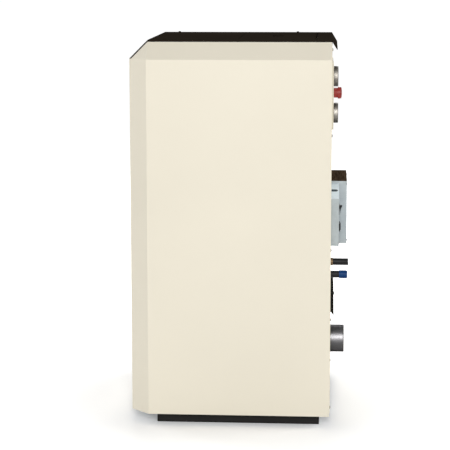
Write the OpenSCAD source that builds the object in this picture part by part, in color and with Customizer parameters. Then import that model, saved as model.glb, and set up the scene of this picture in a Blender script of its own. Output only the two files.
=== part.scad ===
// Wood-pellet boiler stove: a hydronic heater in a bevelled sheet-metal casing, in millimetres.
// X is the width, Y the depth with the fire door towards -Y, Z is up from the floor.

/* [Casing] */
// Overall width of the casing
case_w = 580; // [560:10:640]
// Overall depth of the casing
case_d = 560; // [550:10:620]
// Height of the black top above the floor
case_h = 1080; // [1070:10:1160]
// Width of each bevel, measured along X, Y or Z
bevel = 52; // [44:1:58]
// Thickness of the casing sheet
sheet = 2; // [1.5:0.25:2.5]
// How far the black top wraps down over the side bevels
cover_wrap = 5.5; // [4:0.5:9]
// Drop of the bent lip behind the black top
lip_drop = 26; // [18:1:30]
// Overhang of the bent lip behind the black top
lip_out = 16; // [10:1:20]
// Length of the end cut of the lip
lip_cut = 10; // [6:1:14]

/* [Plinth] */
// Height of the plinth rails
plinth_h = 30; // [24:1:40]
// Width of one plinth rail
rail_w = 30; // [20:1:40]
// Inset of the plinth from the casing sides
plinth_inset = 28; // [24:1:40]
// Inset of the plinth from the casing front
plinth_front = 74; // [60:1:90]
// Thickness of the floor plate
floor_t = 3; // [2:0.5:4]

/* [Front] */
// Height of the lower edge of the ash drawer front
ash_z = 180; // [176:1:190]
// Height of the ash drawer front
ash_front_h = 142; // [136:1:146]
// Height of the fire door
door_h = 400; // [390:1:410]
// Gap between neighbouring front pieces
front_gap = 3; // [2:0.5:4]
// Thickness of the fire door casting
door_t = 22; // [20:0.5:23]
// Width of the casting around the door glass
door_rim = 48; // [40:1:60]
// Thickness of the ceramic glass
glass_t = 4; // [3:0.5:5]
// How far the door opens, in degrees
door_open = 105; // [60:5:110]
// Travel of the ash drawer
ash_travel = 230; // [150:5:235]

/* [Boiler] */
// Gap between the casing sides and the water jacket
side_gap = 65; // [63:1:70]
// Space behind the water jacket for the feed and the smoke fan
rear_bay = 170; // [168:1:174]
// Space over the water jacket for the smoke hood and the lid
head_room = 200; // [196:1:206]
// Plate thickness of the water jacket
jacket_t = 4; // [3:0.5:5]
// Height of the stand under the water jacket
stand_h = 117; // [112:1:122]
// Water gap between the firebox and the jacket sides
water_gap = 30; // [24:1:34]
// Plate thickness of the firebox
firebox_t = 5; // [4:0.5:6]
// Share of the jacket's height that the firebox takes
firebox_share = 0.685; // [0.675:0.005:0.695]
// Depth of the smoke pass behind the firebox
pass_d = 75; // [72:1:80]
// Outer radius of a front smoke tube
tube_r = 28; // [24:0.5:30]
// Outer radius of a rear smoke tube
rear_tube_r = 21; // [18:0.5:22]
// Wall of a smoke tube
tube_t = 3; // [2:0.5:4]
// Height of the smoke hood on the jacket
hood_h = 84; // [80:1:88]

/* [Burner and feed] */
// Length of each side of the burner pot
pot_w = 120; // [100:1:130]
// Height of the burner pot
pot_h = 74; // [60:1:80]
// Wall of the burner pot
pot_t = 6; // [5:0.5:8]
// Depth of the pellet hopper
hopper_d = 146; // [130:1:150]
// Width of the pellet hopper
hopper_w = 400; // [380:5:420]
// Sheet thickness of the pellet hopper
hopper_t = 1.5; // [1:0.25:2]
// Outer radius of the auger tube
auger_r = 30; // [27:0.5:31]
// Wall of the auger tube
auger_t = 2.5; // [2:0.25:3]
// Outer radius of the pellet chute
chute_r = 30; // [27:0.5:32]

/* [Smoke and air] */
// Outer radius of the flue outlet
flue_r = 40; // [38:0.5:42]
// Height of the flue axis above the floor
flue_z = 187; // [182:1:192]
// How far the flue outlet stands behind the rear panel
flue_out = 40; // [30:1:60]
// Wall of the flue outlet
flue_t = 2; // [1.5:0.25:3]
// Radius of the fan housing
fan_r = 78; // [74:1:80]
// Width of the fan housing
fan_w = 86; // [84:1:90]
// Outer radius of the combustion air pipe
air_r = 20; // [17:0.5:21]

/* [Rear fittings] */
// Width of the control box
box_w = 230; // [220:1:236]
// Height of the control box
box_h = 183.5; // [178:0.5:190]
// How far the control box stands behind the rear panel
box_out = 45.5; // [40:0.5:55]
// Width of the switch box
switch_w = 108; // [100:1:112]
// How far the switch box stands behind the rear panel
switch_out = 22.5; // [20:0.5:26]
// Outer radius of the pressure and temperature gauges
gauge_r = 29; // [26:0.5:31]
// Radius of the safety valve cap at its wide end
valve_r = 16.5; // [14:0.5:18]
// Outer radius of the copper water pipes
pipe_r = 9; // [8:0.5:10]

/* [Hidden] */
// Smoothness of round parts
$fn = 64;
// Overrun of every cut
cut = 1;
// Clearance between parts that move past each other
clear = 0.3;
// Running clearance of a pin in its bore
run = 0.05;
// Gap at a welded corner
weld_gap = 0.4;

// Casing planes
hx = case_w / 2;
yf = -case_d / 2;
yr = case_d / 2;
zt = case_h;
// Half width of the black top where it meets the side bevels
cover_x = hx - bevel + cover_wrap;
// Lower edge of the top bevels
bevel_z = zt - bevel;
// Tilt of a corner facet from the vertical
facet_tilt = acos(1 / sqrt(3));
floor_top = plinth_h + floor_t;
// Return flange of a side panel behind the rear panel
flange_w = 24;
// Width of the shelf under the edge of the black top
shelf_w = 18;
// Thickness of the rear panel and its inset from the casing sides
rear_t = 1.5;
rear_inset = 16;
rear_y = yr + rear_t;

// Plinth
plinth_x = hx - plinth_inset;
plinth_y0 = yf + plinth_front;
plinth_y1 = yr - plinth_inset;

// Front pieces stand between the front bevels
front_x = hx - bevel;
jamb_w = 48;
door_x = front_x - jamb_w;
door_z = ash_z + ash_front_h + front_gap;
door_top = door_z + door_h;
door_back = yf + door_t;
upper_z = door_top + front_gap;

// Boiler: the jacket stands 30 mm behind the casing front
boiler_gap = 30;
jy0 = yf + boiler_gap;
jy1 = yr - rear_bay;
jx = hx - side_gap;
jz = floor_top + stand_h;
jtop = zt - head_room;
jacket_d = jy1 - jy0;
jacket_h = jtop - jz;
face_t = 5.5;
face_y = jy0 - face_t;
fbx = jx - water_gap;
fb_z = jz + jacket_t;
fb_top = fb_z + firebox_share * jacket_h;
fb_y1 = jy1 - pass_d;
// Smoke tubes
tube_space = 14;
tube_pitch = 2 * tube_r + tube_space;
first_row = 80;
tube_rows_y = [jy0 + first_row, jy0 + first_row + tube_pitch];
tube_cols = 5;
rear_tube_y = (fb_y1 + jy1 - jacket_t) / 2;
rear_tube_x = [60, 165];
// Mouths in the boiler front plate
mouth_in = 32;
mouth_x = door_x - mouth_in;
mouth_sill = 36;
mouth_z0 = door_z + mouth_sill;
mouth_z1 = fb_top - mouth_in / 2;
ash_mouth_x = mouth_x - mouth_in / 8;
ash_floor = 26;
ash_mouth_h = 112;
ash_mouth_z0 = fb_z + firebox_t + ash_floor;
ash_mouth_z1 = ash_mouth_z0 + ash_mouth_h;

// Hearth, lining and burner pot
hearth_drop = 34;
hearth_z = mouth_z0 - hearth_drop;
hearth_t = 6;
lining_t = 20;
lining_under = 51;
lining_h = fb_top - lining_under - hearth_z - hearth_t;
pot_share = 0.491;
pot_y = jy0 + pot_share * (fb_y1 - jy0);
pot_drop = 36;
pot_rim = 10;

// Feed
hopper_gap = 18;
hopper_y1 = yr - hopper_gap;
hopper_y0 = hopper_y1 - hopper_d;
hopper_down = 20;
funnel_h = 118;
hopper_top = zt - hopper_down;
auger_up = 315;
auger_y = (hopper_y0 + hopper_y1) / 2;
auger_z = hearth_z + auger_up;
hopper_neck_z = auger_z + funnel_h;
auger_x0 = -44;
gear_room = 108;
auger_x1 = hx - gear_room;
slot_l = 100;
slot_end = 32;
slot_x1 = auger_x1 - slot_end;
slot_x0 = slot_x1 - slot_l;
slot_w = 30;
chute_t = 2;
chute_drop = 56;
chute_bend_z = auger_z - chute_drop;

// Smoke fan and flue
fan_back = 90;
fan_drop = 24;
fan_y = yr - fan_back;
fan_z = flue_z - fan_drop;
fan_t = 3;
fan_wall = fan_w / 2;
duct_y = fan_y + fan_r;
inlet_r = 36;
box_t = 2;

// Rear fittings, by the place of each on the rear panel
air_x = 112;
air_drop = 21.5;
air_z = hearth_z - air_drop;
box_x1 = 22;
box_z = 476.5;
switch_z = 487.5;
switch_h0 = 136.5;
switch_rise = 30;
flow_x = 95;
flow_z = 435.5;
return_x = 175;
return_z = 414.5;
gauge_x = 35;
gauge_down = [219, 114];
gauge_z = [zt - gauge_down[0], zt - gauge_down[1]];
valve_x = 140;
valve_down = 152.5;
valve_z = zt - valve_down;
// Copper pipe behind the hopper that feeds the safety valve
feed_r = 8;
feed_y = yr - hopper_gap / 2;
feed_z = 590;
feed_drop = 14;

// Outline of the casing seen from above, from the front and from the side
module form(i, zlow, over) {
    b = bevel - i * (2 - sqrt(2));
    difference() {
        intersection() {
            translate([0, 0, zlow]) linear_extrude(zt - i - zlow)
                polygon([[-hx + i + b, yf + i], [hx - i - b, yf + i], [hx - i, yf + i + b],
                    [hx - i, yr + over], [-hx + i, yr + over], [-hx + i, yf + i + b]]);
            translate([0, yr + over, 0]) rotate([90, 0, 0]) linear_extrude(2 * case_d)
                polygon([[-hx, 0], [hx, 0], [hx - i, zt - i - b], [hx - i - b, zt - i],
                    [-hx + i + b, zt - i], [-hx + i, zt - i - b]]);
            rotate([90, 0, 90]) translate([0, 0, -case_w]) linear_extrude(2 * case_w)
                polygon([[yf + i, 0], [yr + over, 0], [yr + over, zt - i],
                    [yf + i + b, zt - i], [yf + i, zt - i - b]]);
        }
        for (s = [0, 1]) mirror([s, 0, 0])
            translate([hx - i - 2 * b / 3, yf + i + 2 * b / 3, zt - i - 2 * b / 3])
                rotate([0, facet_tilt, -45]) translate([-2 * bevel, -2 * bevel, 0]) cube(4 * bevel);
    }
}

// Sheet of the casing between two depths below its surface
module skin(i0, i1) {
    difference() {
        form(i0, plinth_h, 0);
        form(i1, plinth_h - cut, cut);
    }
}

// Box by its lowest and highest corners
module block(a, b) {
    translate(a) cube([b[0] - a[0], b[1] - a[1], b[2] - a[2]]);
}

// Cylinder along +Y or +X from a start point
module rod_y(p, r, l) {
    translate(p) rotate([-90, 0, 0]) cylinder(r = r, h = l);
}
module rod_x(p, r, l) {
    translate(p) rotate([0, 90, 0]) cylinder(r = r, h = l);
}

// Plate with rounded corners in the XZ plane, from y up by t
module plate_xz(x0, x1, z0, z1, y, t, r) {
    translate([0, y + t, 0]) rotate([90, 0, 0]) linear_extrude(t) union() {
        for (x = [x0 + r, x1 - r]) for (z = [z0 + r, z1 - r]) translate([x, z]) circle(r, $fn = 32);
        translate([x0 + r, z0]) square([x1 - x0 - 2 * r, z1 - z0]);
        translate([x0, z0 + r]) square([x1 - x0, z1 - z0 - 2 * r]);
    }
}

// Places something on the front slope: local Z leaves the slope, local Y runs up it
module on_slope() {
    translate([0, yf + bevel / 2, zt - bevel / 2]) rotate([45, 0, 0]) children();
}

// Two rails that run from front to back
module plinth_side_rails() {
    color([0.16, 0.16, 0.15]) for (s = [0, 1]) mirror([s, 0, 0])
        block([plinth_x - rail_w, plinth_y0, 0], [plinth_x, plinth_y1, plinth_h]);
}

// Three rails between the side rails
module plinth_cross_rails() {
    mid = 0;
    color([0.16, 0.16, 0.15]) for (y = [plinth_y0, mid - rail_w / 2, plinth_y1 - rail_w])
        block([-plinth_x + rail_w + clear, y, 0], [plinth_x - rail_w - clear, y + rail_w, plinth_h]);
}

// Floor of the casing, cut back at the front bevels
module floor_plate() {
    b = bevel - sheet * (2 - sqrt(2));
    x = hx - sheet;
    y = yf + sheet;
    color([0.5, 0.51, 0.52]) translate([0, 0, plinth_h]) linear_extrude(floor_t)
        polygon([[-x + b, y], [x - b, y], [x, y + b], [x, yr - sheet], [-x, yr - sheet], [-x, y + b]]);
}

// One folded side panel: front bevel, side, top bevel, shelf and rear flange
module side_panel() {
    color([0.9, 0.87, 0.79]) difference() {
        side_sheet();
        rear_screw_places() screw_hole();
        top_screw_places() screw_hole();
    }
}
module side_sheet() {
    union() {
        intersection() {
            skin(0, sheet);
            union() {
                block([hx - bevel, yf - cut, 0], [hx + cut, yr + cut, bevel_z]);
                block([cover_x, yf - cut, bevel_z - cut], [hx + cut, yr + cut, zt]);
            }
        }
        intersection() {
            skin(sheet, 2 * sheet);
            block([cover_x - shelf_w, yf, bevel_z + 2 * sheet],
                [cover_x + shelf_w / 2, yr - sheet, zt]);
        }
        block([hx - sheet - flange_w, yr - sheet, floor_top], [hx - sheet, yr, bevel_z - 2 * sheet]);
        intersection() {
            skin(sheet / 2, flange_w);
            block([cover_x, yr - sheet, bevel_z + sheet], [hx, yr, zt]);
        }
    }
}
module right_side_panel() {
    side_panel();
}
module left_side_panel() {
    mirror([1, 0, 0]) side_panel();
}

// Black top: flat plate, front slope and bent rear lip, with openings for the lid and the console
lid_side = 53;
lid_front = 96;
lid_back = 23;
lid_x = cover_x - lid_side;
lid_y0 = hopper_y0 - lid_front;
lid_y1 = hopper_y1 - lid_back;
lid_gap = 1.5;
lid_pin_r = 2;
lid_knuckle_r = 4;
lid_axis_in = 7;
lid_axis_y = lid_y1 - lid_axis_in;
lid_axis_z = zt - lid_knuckle_r - sheet / 2;
console_w = 168;
console_h = 48;
module top_cover() {
    lip_len = sqrt(lip_out * lip_out + lip_drop * lip_drop);
    lip_x = hx - bevel;
    color([0.13, 0.12, 0.1]) union() {
        difference() {
            intersection() {
                skin(0, sheet);
                block([-cover_x, yf - cut, bevel_z], [cover_x, yr + cut, zt + cut]);
            }
            block([-lid_x, lid_y0, zt - 3 * sheet], [lid_x, lid_y1, zt + cut]);
            on_slope() translate([-console_w / 2, -console_h / 2, -3 * sheet])
                cube([console_w, console_h, 4 * sheet]);
            for (s = [0, 1]) mirror([s, 0, 0]) top_screw_places() screw_hole();
        }
        translate([0, yr, zt]) rotate([-atan2(lip_drop, lip_out), 0, 0]) translate([0, 0, -sheet])
            linear_extrude(sheet) polygon([[-lip_x, 0], [lip_x, 0],
                [lip_x - lip_cut, lip_len], [-lip_x + lip_cut, lip_len]]);
    }
}

// Rear panel with its holes
rear_x = hx - rear_inset;
rear_edge = 6;
rear_z0 = plinth_h + rear_edge;
rear_bevel_in = 10;
rear_corner_z = bevel_z + rear_inset - rear_bevel_in;
rear_z1 = zt - 5 * sheet;
rear_top_x = rear_x - (rear_z1 - rear_corner_z);
module rear_panel() {
    color([0.9, 0.87, 0.79]) difference() {
        translate([0, rear_y, 0]) rotate([90, 0, 0]) linear_extrude(rear_t)
            polygon([[-rear_x, rear_z0], [rear_x, rear_z0], [rear_x, rear_corner_z], [rear_top_x, rear_z1],
                [-rear_top_x, rear_z1], [-rear_x, rear_corner_z]]);
        rod_y([0, yr - cut, flue_z], flue_r + 2, rear_t + 2 * cut);
        rod_y([air_x, yr - cut, air_z], air_r + clear, rear_t + 2 * cut);
        rod_y([flow_x, yr - cut, flow_z], pipe_r + clear, rear_t + 2 * cut);
        rod_y([return_x, yr - cut, return_z], pipe_r + clear, rear_t + 2 * cut);
        rod_y([valve_x, yr - cut, valve_z], feed_r + clear, rear_t + 2 * cut);
        for (s = [0, 1]) mirror([s, 0, 0]) rear_screw_places() screw_hole();
    }
}

// Screws: four down each rear edge, one at each upper corner and four on the black top
screw_r = 4;
screw_head = 2.6;
screw_shank = 1.6;
screw_edge = 7;
screw_x = hx - rear_inset - screw_edge;
screw_shares = [0.015, 0.258, 0.4485, 0.7575];
corner_screw_in = 4.5;
top_screw_x = cover_x - cover_wrap - screw_edge;
top_screw_in = [45, 103];
top_screw_y = [yf + bevel + top_screw_in[0], yr - top_screw_in[1]];
screw_l = sheet + rear_t;
module rear_screw_places() {
    for (k = screw_shares)
        translate([screw_x, rear_y, rear_z0 + k * (rear_z1 - rear_z0)]) rotate([-90, 0, 0]) children();
    translate([cover_x + corner_screw_in, rear_y, zt - bevel / 2]) rotate([-90, 0, 0]) children();
}
module top_screw_places() {
    for (y = top_screw_y) translate([top_screw_x, y, zt]) children();
}
module screw_hole() {
    translate([0, 0, -2 * screw_l]) cylinder(r = screw_shank + run, h = 3 * screw_l);
}
module pan_screw() {
    union() {
        intersection() {
            cylinder(r = screw_r, h = screw_head);
            translate([0, 0, screw_head - 2 * screw_r]) sphere(r = 2 * screw_r);
        }
        translate([0, 0, -screw_l]) cylinder(r = screw_shank, h = screw_l + clear);
    }
}
module panel_screws() {
    color([0.75, 0.75, 0.74]) for (s = [0, 1]) mirror([s, 0, 0])
        rear_screw_places() pan_screw();
}
module top_screws() {
    color([0.2, 0.19, 0.18]) for (s = [0, 1]) mirror([s, 0, 0])
        top_screw_places() pan_screw();
}

// Fixed beige panel above the door, with louvres
module upper_front_panel() {
    slots = 9;
    slot_h = 5;
    pitch = 11;
    color([0.9, 0.87, 0.79]) difference() {
        block([-front_x, yf, upper_z], [front_x, yf + sheet, bevel_z]);
        for (k = [0 : slots - 1])
            block([-front_x / 2, yf - cut, upper_z + 4 * slot_h + k * pitch],
                [front_x / 2, yf + sheet + cut, upper_z + 5 * slot_h + k * pitch]);
    }
}

// Fixed beige panel below the ash drawer
module lower_front_panel() {
    color([0.9, 0.87, 0.79])
        block([-front_x, yf, floor_top], [front_x, yf + sheet, ash_z - front_gap]);
}

// Strips beside the door and the drawer
jamb_x = door_x + 16;
module front_jambs() {
    color([0.9, 0.87, 0.79]) for (s = [0, 1]) mirror([s, 0, 0])
        block([s ? door_x + front_gap : jamb_x, yf, ash_z - front_gap + clear],
            [front_x, yf + sheet, upper_z - clear]);
}

// Fire door: cast frame with a stepped window, hinge knuckles on the +X side and a latch boss
door_mid_z = (door_z + door_top) / 2;
hinge_r = 5;
hinge_pin_r = 3;
hinge_in = 6;
hinge_x = door_x + hinge_in;
hinge_y = yf + hinge_in;
knuckle_h = 40;
knuckle_z = [door_z + knuckle_h, door_top - 2 * knuckle_h];
glass_seat = 8;
glass_in = 5;
glass_y = yf + glass_in;
rope_w = 8;
rope_out = face_y - clear - door_back;
rope_groove = 6;
handle_x = -door_x + door_rim / 2;
handle_r = 5;
module door_frame() {
    win_x = door_x - door_rim;
    win_z = door_h / 2 - door_rim;
    color([0.15, 0.15, 0.15]) difference() {
        union() {
            block([-door_x, yf, door_z], [door_x, door_back, door_top]);
            for (z = knuckle_z) {
                translate([hinge_x, hinge_y, z]) cylinder(r = hinge_r, h = knuckle_h);
                block([door_x - hinge_r, hinge_y - hinge_pin_r, z],
                    [hinge_x, hinge_y + hinge_pin_r, z + knuckle_h]);
            }
        }
        for (z = knuckle_z) translate([hinge_x, hinge_y, z - cut])
            cylinder(r = hinge_pin_r + run, h = knuckle_h + 2 * cut);
        plate_xz(-win_x, win_x, door_mid_z - win_z, door_mid_z + win_z, yf - cut, door_t + 2 * cut, rope_w);
        plate_xz(-win_x - glass_seat, win_x + glass_seat, door_mid_z - win_z - glass_seat,
            door_mid_z + win_z + glass_seat, glass_y, door_t, rope_w);
        rope_ring(rope_groove + cut, door_back - rope_groove, rope_w);
        rod_y([handle_x, yf - cut, door_mid_z], handle_r + run, door_t + 2 * cut);
    }
}
// Square ring around the window, used for the rope seal and its groove
rope_edge = 6;
rope_x = door_x - rope_edge;
module rope_ring(t, y, w) {
    rope_h = door_h / 2 - rope_edge;
    difference() {
        plate_xz(-rope_x, rope_x, door_mid_z - rope_h, door_mid_z + rope_h, y, t, rope_w);
        plate_xz(-rope_x + w, rope_x - w, door_mid_z - rope_h + w, door_mid_z + rope_h - w,
            y - cut, t + 2 * cut, rope_w / 2);
    }
}
module door_glass() {
    win_x = door_x - door_rim + glass_seat;
    win_z = door_h / 2 - door_rim + glass_seat;
    color([0.2, 0.18, 0.15, 0.5]) plate_xz(-win_x, win_x, door_mid_z - win_z, door_mid_z + win_z,
        glass_y, glass_t, rope_w);
}
// Steel frame that holds the glass against its step
module glass_retainer() {
    win_x = door_x - door_rim + glass_seat;
    win_z = door_h / 2 - door_rim + glass_seat;
    bar = glass_seat + rope_w;
    y = glass_y + glass_t;
    color([0.3, 0.3, 0.3]) difference() {
        plate_xz(-win_x, win_x, door_mid_z - win_z, door_mid_z + win_z, y, glass_t, rope_w);
        plate_xz(-win_x + bar, win_x - bar, door_mid_z - win_z + bar, door_mid_z + win_z - bar,
            y - cut, glass_t + 2 * cut, rope_w / 2);
    }
}
module door_rope() {
    color([0.85, 0.84, 0.8]) rope_ring(rope_groove + rope_out, door_back - rope_groove, rope_w);
}
// Pins and brackets that carry the door on the boiler front plate
module door_hinge_brackets() {
    arm = 12;
    color([0.2, 0.2, 0.2]) for (k = [0, 1]) {
        z0 = knuckle_z[k] - arm - clear;
        union() {
            translate([hinge_x, hinge_y, z0]) cylinder(r = hinge_r, h = arm);
            translate([hinge_x, hinge_y, z0]) cylinder(r = hinge_pin_r, h = knuckle_h + arm);
            block([hinge_x - hinge_pin_r, hinge_y, z0], [hinge_x + hinge_pin_r, face_y, z0 + arm]);
            block([hinge_x - hinge_pin_r, face_y - hinge_pin_r, z0 - arm],
                [hinge_x + 2 * arm, face_y, z0 + 2 * arm]);
        }
    }
}
// Turning handle with its latch cam inside the door
handle_out = 30;
grip_l = 110;
module door_handle() {
    color([0.6, 0.6, 0.6]) union() {
        rod_y([handle_x, yf - handle_out, door_mid_z], handle_r, handle_out + door_t + cut);
        rod_y([handle_x, yf - handle_r, door_mid_z], 2 * handle_r, handle_r - clear);
        translate([handle_x, yf - handle_out, door_mid_z]) sphere(r = 1.4 * handle_r);
        translate([handle_x, yf - handle_out, door_mid_z - grip_l]) cylinder(r = handle_r, h = grip_l);
    }
}
module handle_grip() {
    l = 0.7 * grip_l;
    color([0.1, 0.1, 0.1]) translate([handle_x, yf - handle_out, door_mid_z - grip_l]) difference() {
        cylinder(r = 1.7 * handle_r, h = l);
        translate([0, 0, -cut]) cylinder(r = handle_r + run, h = l + 2 * cut);
    }
}

// Ash drawer: beige front and steel pan on two runners
pan_side = 5;
pan_lift = 4;
pan_x = ash_mouth_x - pan_side;
pan_z = ash_mouth_z0 + pan_lift;
pan_h = 96;
pan_t = 2;
pan_y0 = yf + sheet;
pan_back = 14;
pan_y1 = fb_y1 - firebox_t - pan_back;
module ash_drawer_front() {
    grip_w = 60;
    color([0.9, 0.87, 0.79]) union() {
        block([-door_x, yf, ash_z], [door_x, yf + sheet, ash_z + ash_front_h]);
        block([-grip_w, yf - 0.8 * rope_w, ash_z + ash_front_h - 2 * sheet],
            [grip_w, yf, ash_z + ash_front_h - sheet]);
    }
}
module ash_pan() {
    color([0.45, 0.46, 0.47]) difference() {
        block([-pan_x, pan_y0, pan_z], [pan_x, pan_y1, pan_z + pan_h]);
        block([-pan_x + pan_t, pan_y0 + pan_t, pan_z + pan_t],
            [pan_x - pan_t, pan_y1 - pan_t, pan_z + pan_h + cut]);
    }
}
module ash_runners() {
    color([0.35, 0.35, 0.35]) for (s = [0, 1]) mirror([s, 0, 0])
        block([pan_x - 2 * rope_w, jy0, fb_z + firebox_t], [pan_x, pan_y1, pan_z - clear]);
}

// Outer shell of the water jacket, open at the front, with the tube and chute holes
module tube_places() {
    for (y = tube_rows_y) for (k = [0 : tube_cols - 1])
        translate([(k - (tube_cols - 1) / 2) * tube_pitch, y, 0]) children();
}
module rear_tube_places() {
    for (x = rear_tube_x) for (s = [-1, 1]) translate([s * x, rear_tube_y, 0]) children();
}
module chute_run(r) {
    rotate([135, 0, 0]) translate([0, 0, -r]) cylinder(r = r, h = 2 * case_d / 3);
}
module chute_hole(r) {
    translate([0, auger_y, chute_bend_z]) chute_run(r);
}
// Five plates of a box that is open at the front, each short of its neighbours by a weld gap
module box_plates(x, y0, y1, z0, z1, t) {
    inner = x - t - weld_gap;
    for (s = [0, 1]) mirror([s, 0, 0]) block([x - t, y0, z0], [x, y1, z1]);
    block([-inner, y1 - t, z0], [inner, y1, z1]);
    for (z = [z0, z1 - t]) block([-inner, y0, z], [inner, y1 - t - weld_gap, z + t]);
}
module water_jacket() {
    color([0.35, 0.36, 0.38]) difference() {
        box_plates(jx, jy0, jy1, jz, jtop, jacket_t);
        tube_places() translate([0, 0, jtop - jacket_t - cut])
            cylinder(r = tube_r - tube_t, h = jacket_t + 2 * cut);
        rear_tube_places() translate([0, 0, jz - cut])
            cylinder(r = rear_tube_r - tube_t, h = jacket_h + 2 * cut);
        chute_hole(chute_r + clear);
        rod_y([air_x, fb_y1, air_z], air_r + clear, jacket_d);
    }
}
module firebox() {
    color([0.28, 0.28, 0.29]) difference() {
        box_plates(fbx, jy0, fb_y1, fb_z, fb_top, firebox_t);
        tube_places() translate([0, 0, fb_top - firebox_t - cut])
            cylinder(r = tube_r - tube_t, h = firebox_t + 2 * cut);
        chute_hole(chute_r + clear);
        rod_y([air_x, fb_y1 - 2 * firebox_t, air_z], air_r + clear, 4 * firebox_t);
    }
}
module boiler_front_plate() {
    color([0.25, 0.25, 0.26]) difference() {
        block([-jx, face_y, jz], [jx, jy0, jtop]);
        block([-mouth_x, face_y - cut, mouth_z0], [mouth_x, jy0 + cut, mouth_z1]);
        block([-ash_mouth_x, face_y - cut, ash_mouth_z0], [ash_mouth_x, jy0 + cut, ash_mouth_z1]);
    }
}
module front_smoke_tubes() {
    color([0.4, 0.4, 0.41]) tube_places() translate([0, 0, fb_top]) difference() {
        cylinder(r = tube_r, h = jtop - jacket_t - fb_top);
        translate([0, 0, -cut]) cylinder(r = tube_r - tube_t, h = jtop - fb_top);
    }
}
module rear_smoke_tubes() {
    color([0.4, 0.4, 0.41]) rear_tube_places() translate([0, 0, fb_z]) difference() {
        cylinder(r = rear_tube_r, h = jacket_h - 2 * jacket_t);
        translate([0, 0, -cut]) cylinder(r = rear_tube_r - tube_t, h = jacket_h);
    }
}
// Four angle legs under the jacket
module boiler_stand() {
    leg = 30;
    color([0.2, 0.2, 0.2]) for (s = [0, 1]) mirror([s, 0, 0]) for (y = [jy0, jy1 - leg])
        translate([jx - leg, y, floor_top]) difference() {
            cube([leg, leg, stand_h]);
            translate([-jacket_t, y > 0 ? -jacket_t : jacket_t, -cut])
                cube([leg, leg, stand_h + 2 * cut]);
        }
}

// Hearth plate with the pot opening, and its two side supports
hearth_x = fbx - firebox_t;
hearth_y1 = fb_y1 - firebox_t;
module hearth_plate() {
    gap = 2;
    hole = pot_w / 2 + gap;
    color([0.22, 0.21, 0.2]) difference() {
        block([-hearth_x, jy0, hearth_z], [hearth_x, hearth_y1, hearth_z + hearth_t]);
        block([-hole, pot_y - hole, hearth_z - cut], [hole, pot_y + hole, hearth_z + hearth_t + cut]);
    }
}
module hearth_supports() {
    color([0.25, 0.25, 0.25]) for (s = [0, 1]) mirror([s, 0, 0])
        block([hearth_x - lining_t / 2, jy0, fb_z + firebox_t], [hearth_x, hearth_y1 - lining_t, hearth_z]);
}
// Ribbed refractory plates: one rear plate with the chute hole and two side plates
lining_z = hearth_z + hearth_t;
module rear_lining() {
    rib = lining_t / 3;
    color([0.5, 0.46, 0.4]) difference() {
        block([-hearth_x, hearth_y1 - lining_t, lining_z], [hearth_x, hearth_y1, lining_z + lining_h]);
        for (k = [-8 : 8]) block([(k - 1 / 4) * lining_t, hearth_y1 - lining_t - cut, lining_z + lining_t],
            [(k + 1 / 4) * lining_t, hearth_y1 - lining_t + rib, lining_z + lining_h - lining_t]);
        chute_hole(chute_r + clear);
    }
}
module side_linings() {
    color([0.5, 0.46, 0.4]) for (s = [0, 1]) mirror([s, 0, 0])
        block([hearth_x - lining_t, jy0 + lining_t, lining_z],
            [hearth_x, hearth_y1 - lining_t - clear, lining_z + lining_h]);
}
// Burner pot hung by its rim in the hearth plate
module burner_pot() {
    h = pot_w / 2;
    z0 = lining_z - pot_drop;
    holes = 5;
    hole_r = pot_t / 2;
    step = (pot_w - 4 * pot_t) / (holes - 1);
    color([0.18, 0.17, 0.16]) translate([0, pot_y, 0]) difference() {
        union() {
            block([-h, -h, z0], [h, h, z0 + pot_h]);
            block([-h - pot_rim, -h - pot_rim, lining_z], [h + pot_rim, h + pot_rim, lining_z + pot_t]);
        }
        block([-h + pot_t, -h + pot_t, z0 + pot_t], [h - pot_t, h - pot_t, z0 + pot_h + cut]);
        for (i = [0 : holes - 1]) for (j = [0 : holes - 1])
            translate([(i - (holes - 1) / 2) * step, (j - (holes - 1) / 2) * step, z0 - cut])
                cylinder(r = hole_r, h = pot_t + 2 * cut, $fn = 24);
        for (i = [0 : holes - 1]) rod_y([(i - (holes - 1) / 2) * step, -h - cut, z0 + 2 * pot_drop - pot_t],
            hole_r, 2 * h + 2 * cut);
    }
}
// Igniter rod in the air space behind the pot
igniter_r = 6;
module igniter() {
    z = lining_z - pot_drop + 3 * igniter_r;
    y = pot_y + pot_w / 2 + clear;
    color([0.7, 0.7, 0.7]) rod_y([0, y, z], igniter_r, hearth_y1 - y);
}

// Smoke hood over the tubes, with a bush for the scraper rod
hood_side = 25;
hood_front = 20;
hood_back = 8;
hood_x = jx - hood_side;
hood_y0 = jy0 + hood_front;
hood_y1 = jy1 - hood_back;
rod_r = 5;
bush_r = 9;
bush_h = 12;
scraper_y = rear_tube_y;
scraper_travel = 40;
module smoke_hood() {
    color([0.45, 0.46, 0.47]) difference() {
        union() {
            block([-hood_x, hood_y0, jtop], [hood_x, hood_y1, jtop + hood_h]);
            translate([0, scraper_y, jtop + hood_h]) cylinder(r = bush_r, h = bush_h);
        }
        block([-hood_x + box_t, hood_y0 + box_t, jtop - cut],
            [hood_x - box_t, hood_y1 - box_t, jtop + hood_h - box_t]);
        translate([0, scraper_y, jtop]) cylinder(r = rod_r + run, h = 2 * hood_h);
    }
}
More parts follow.
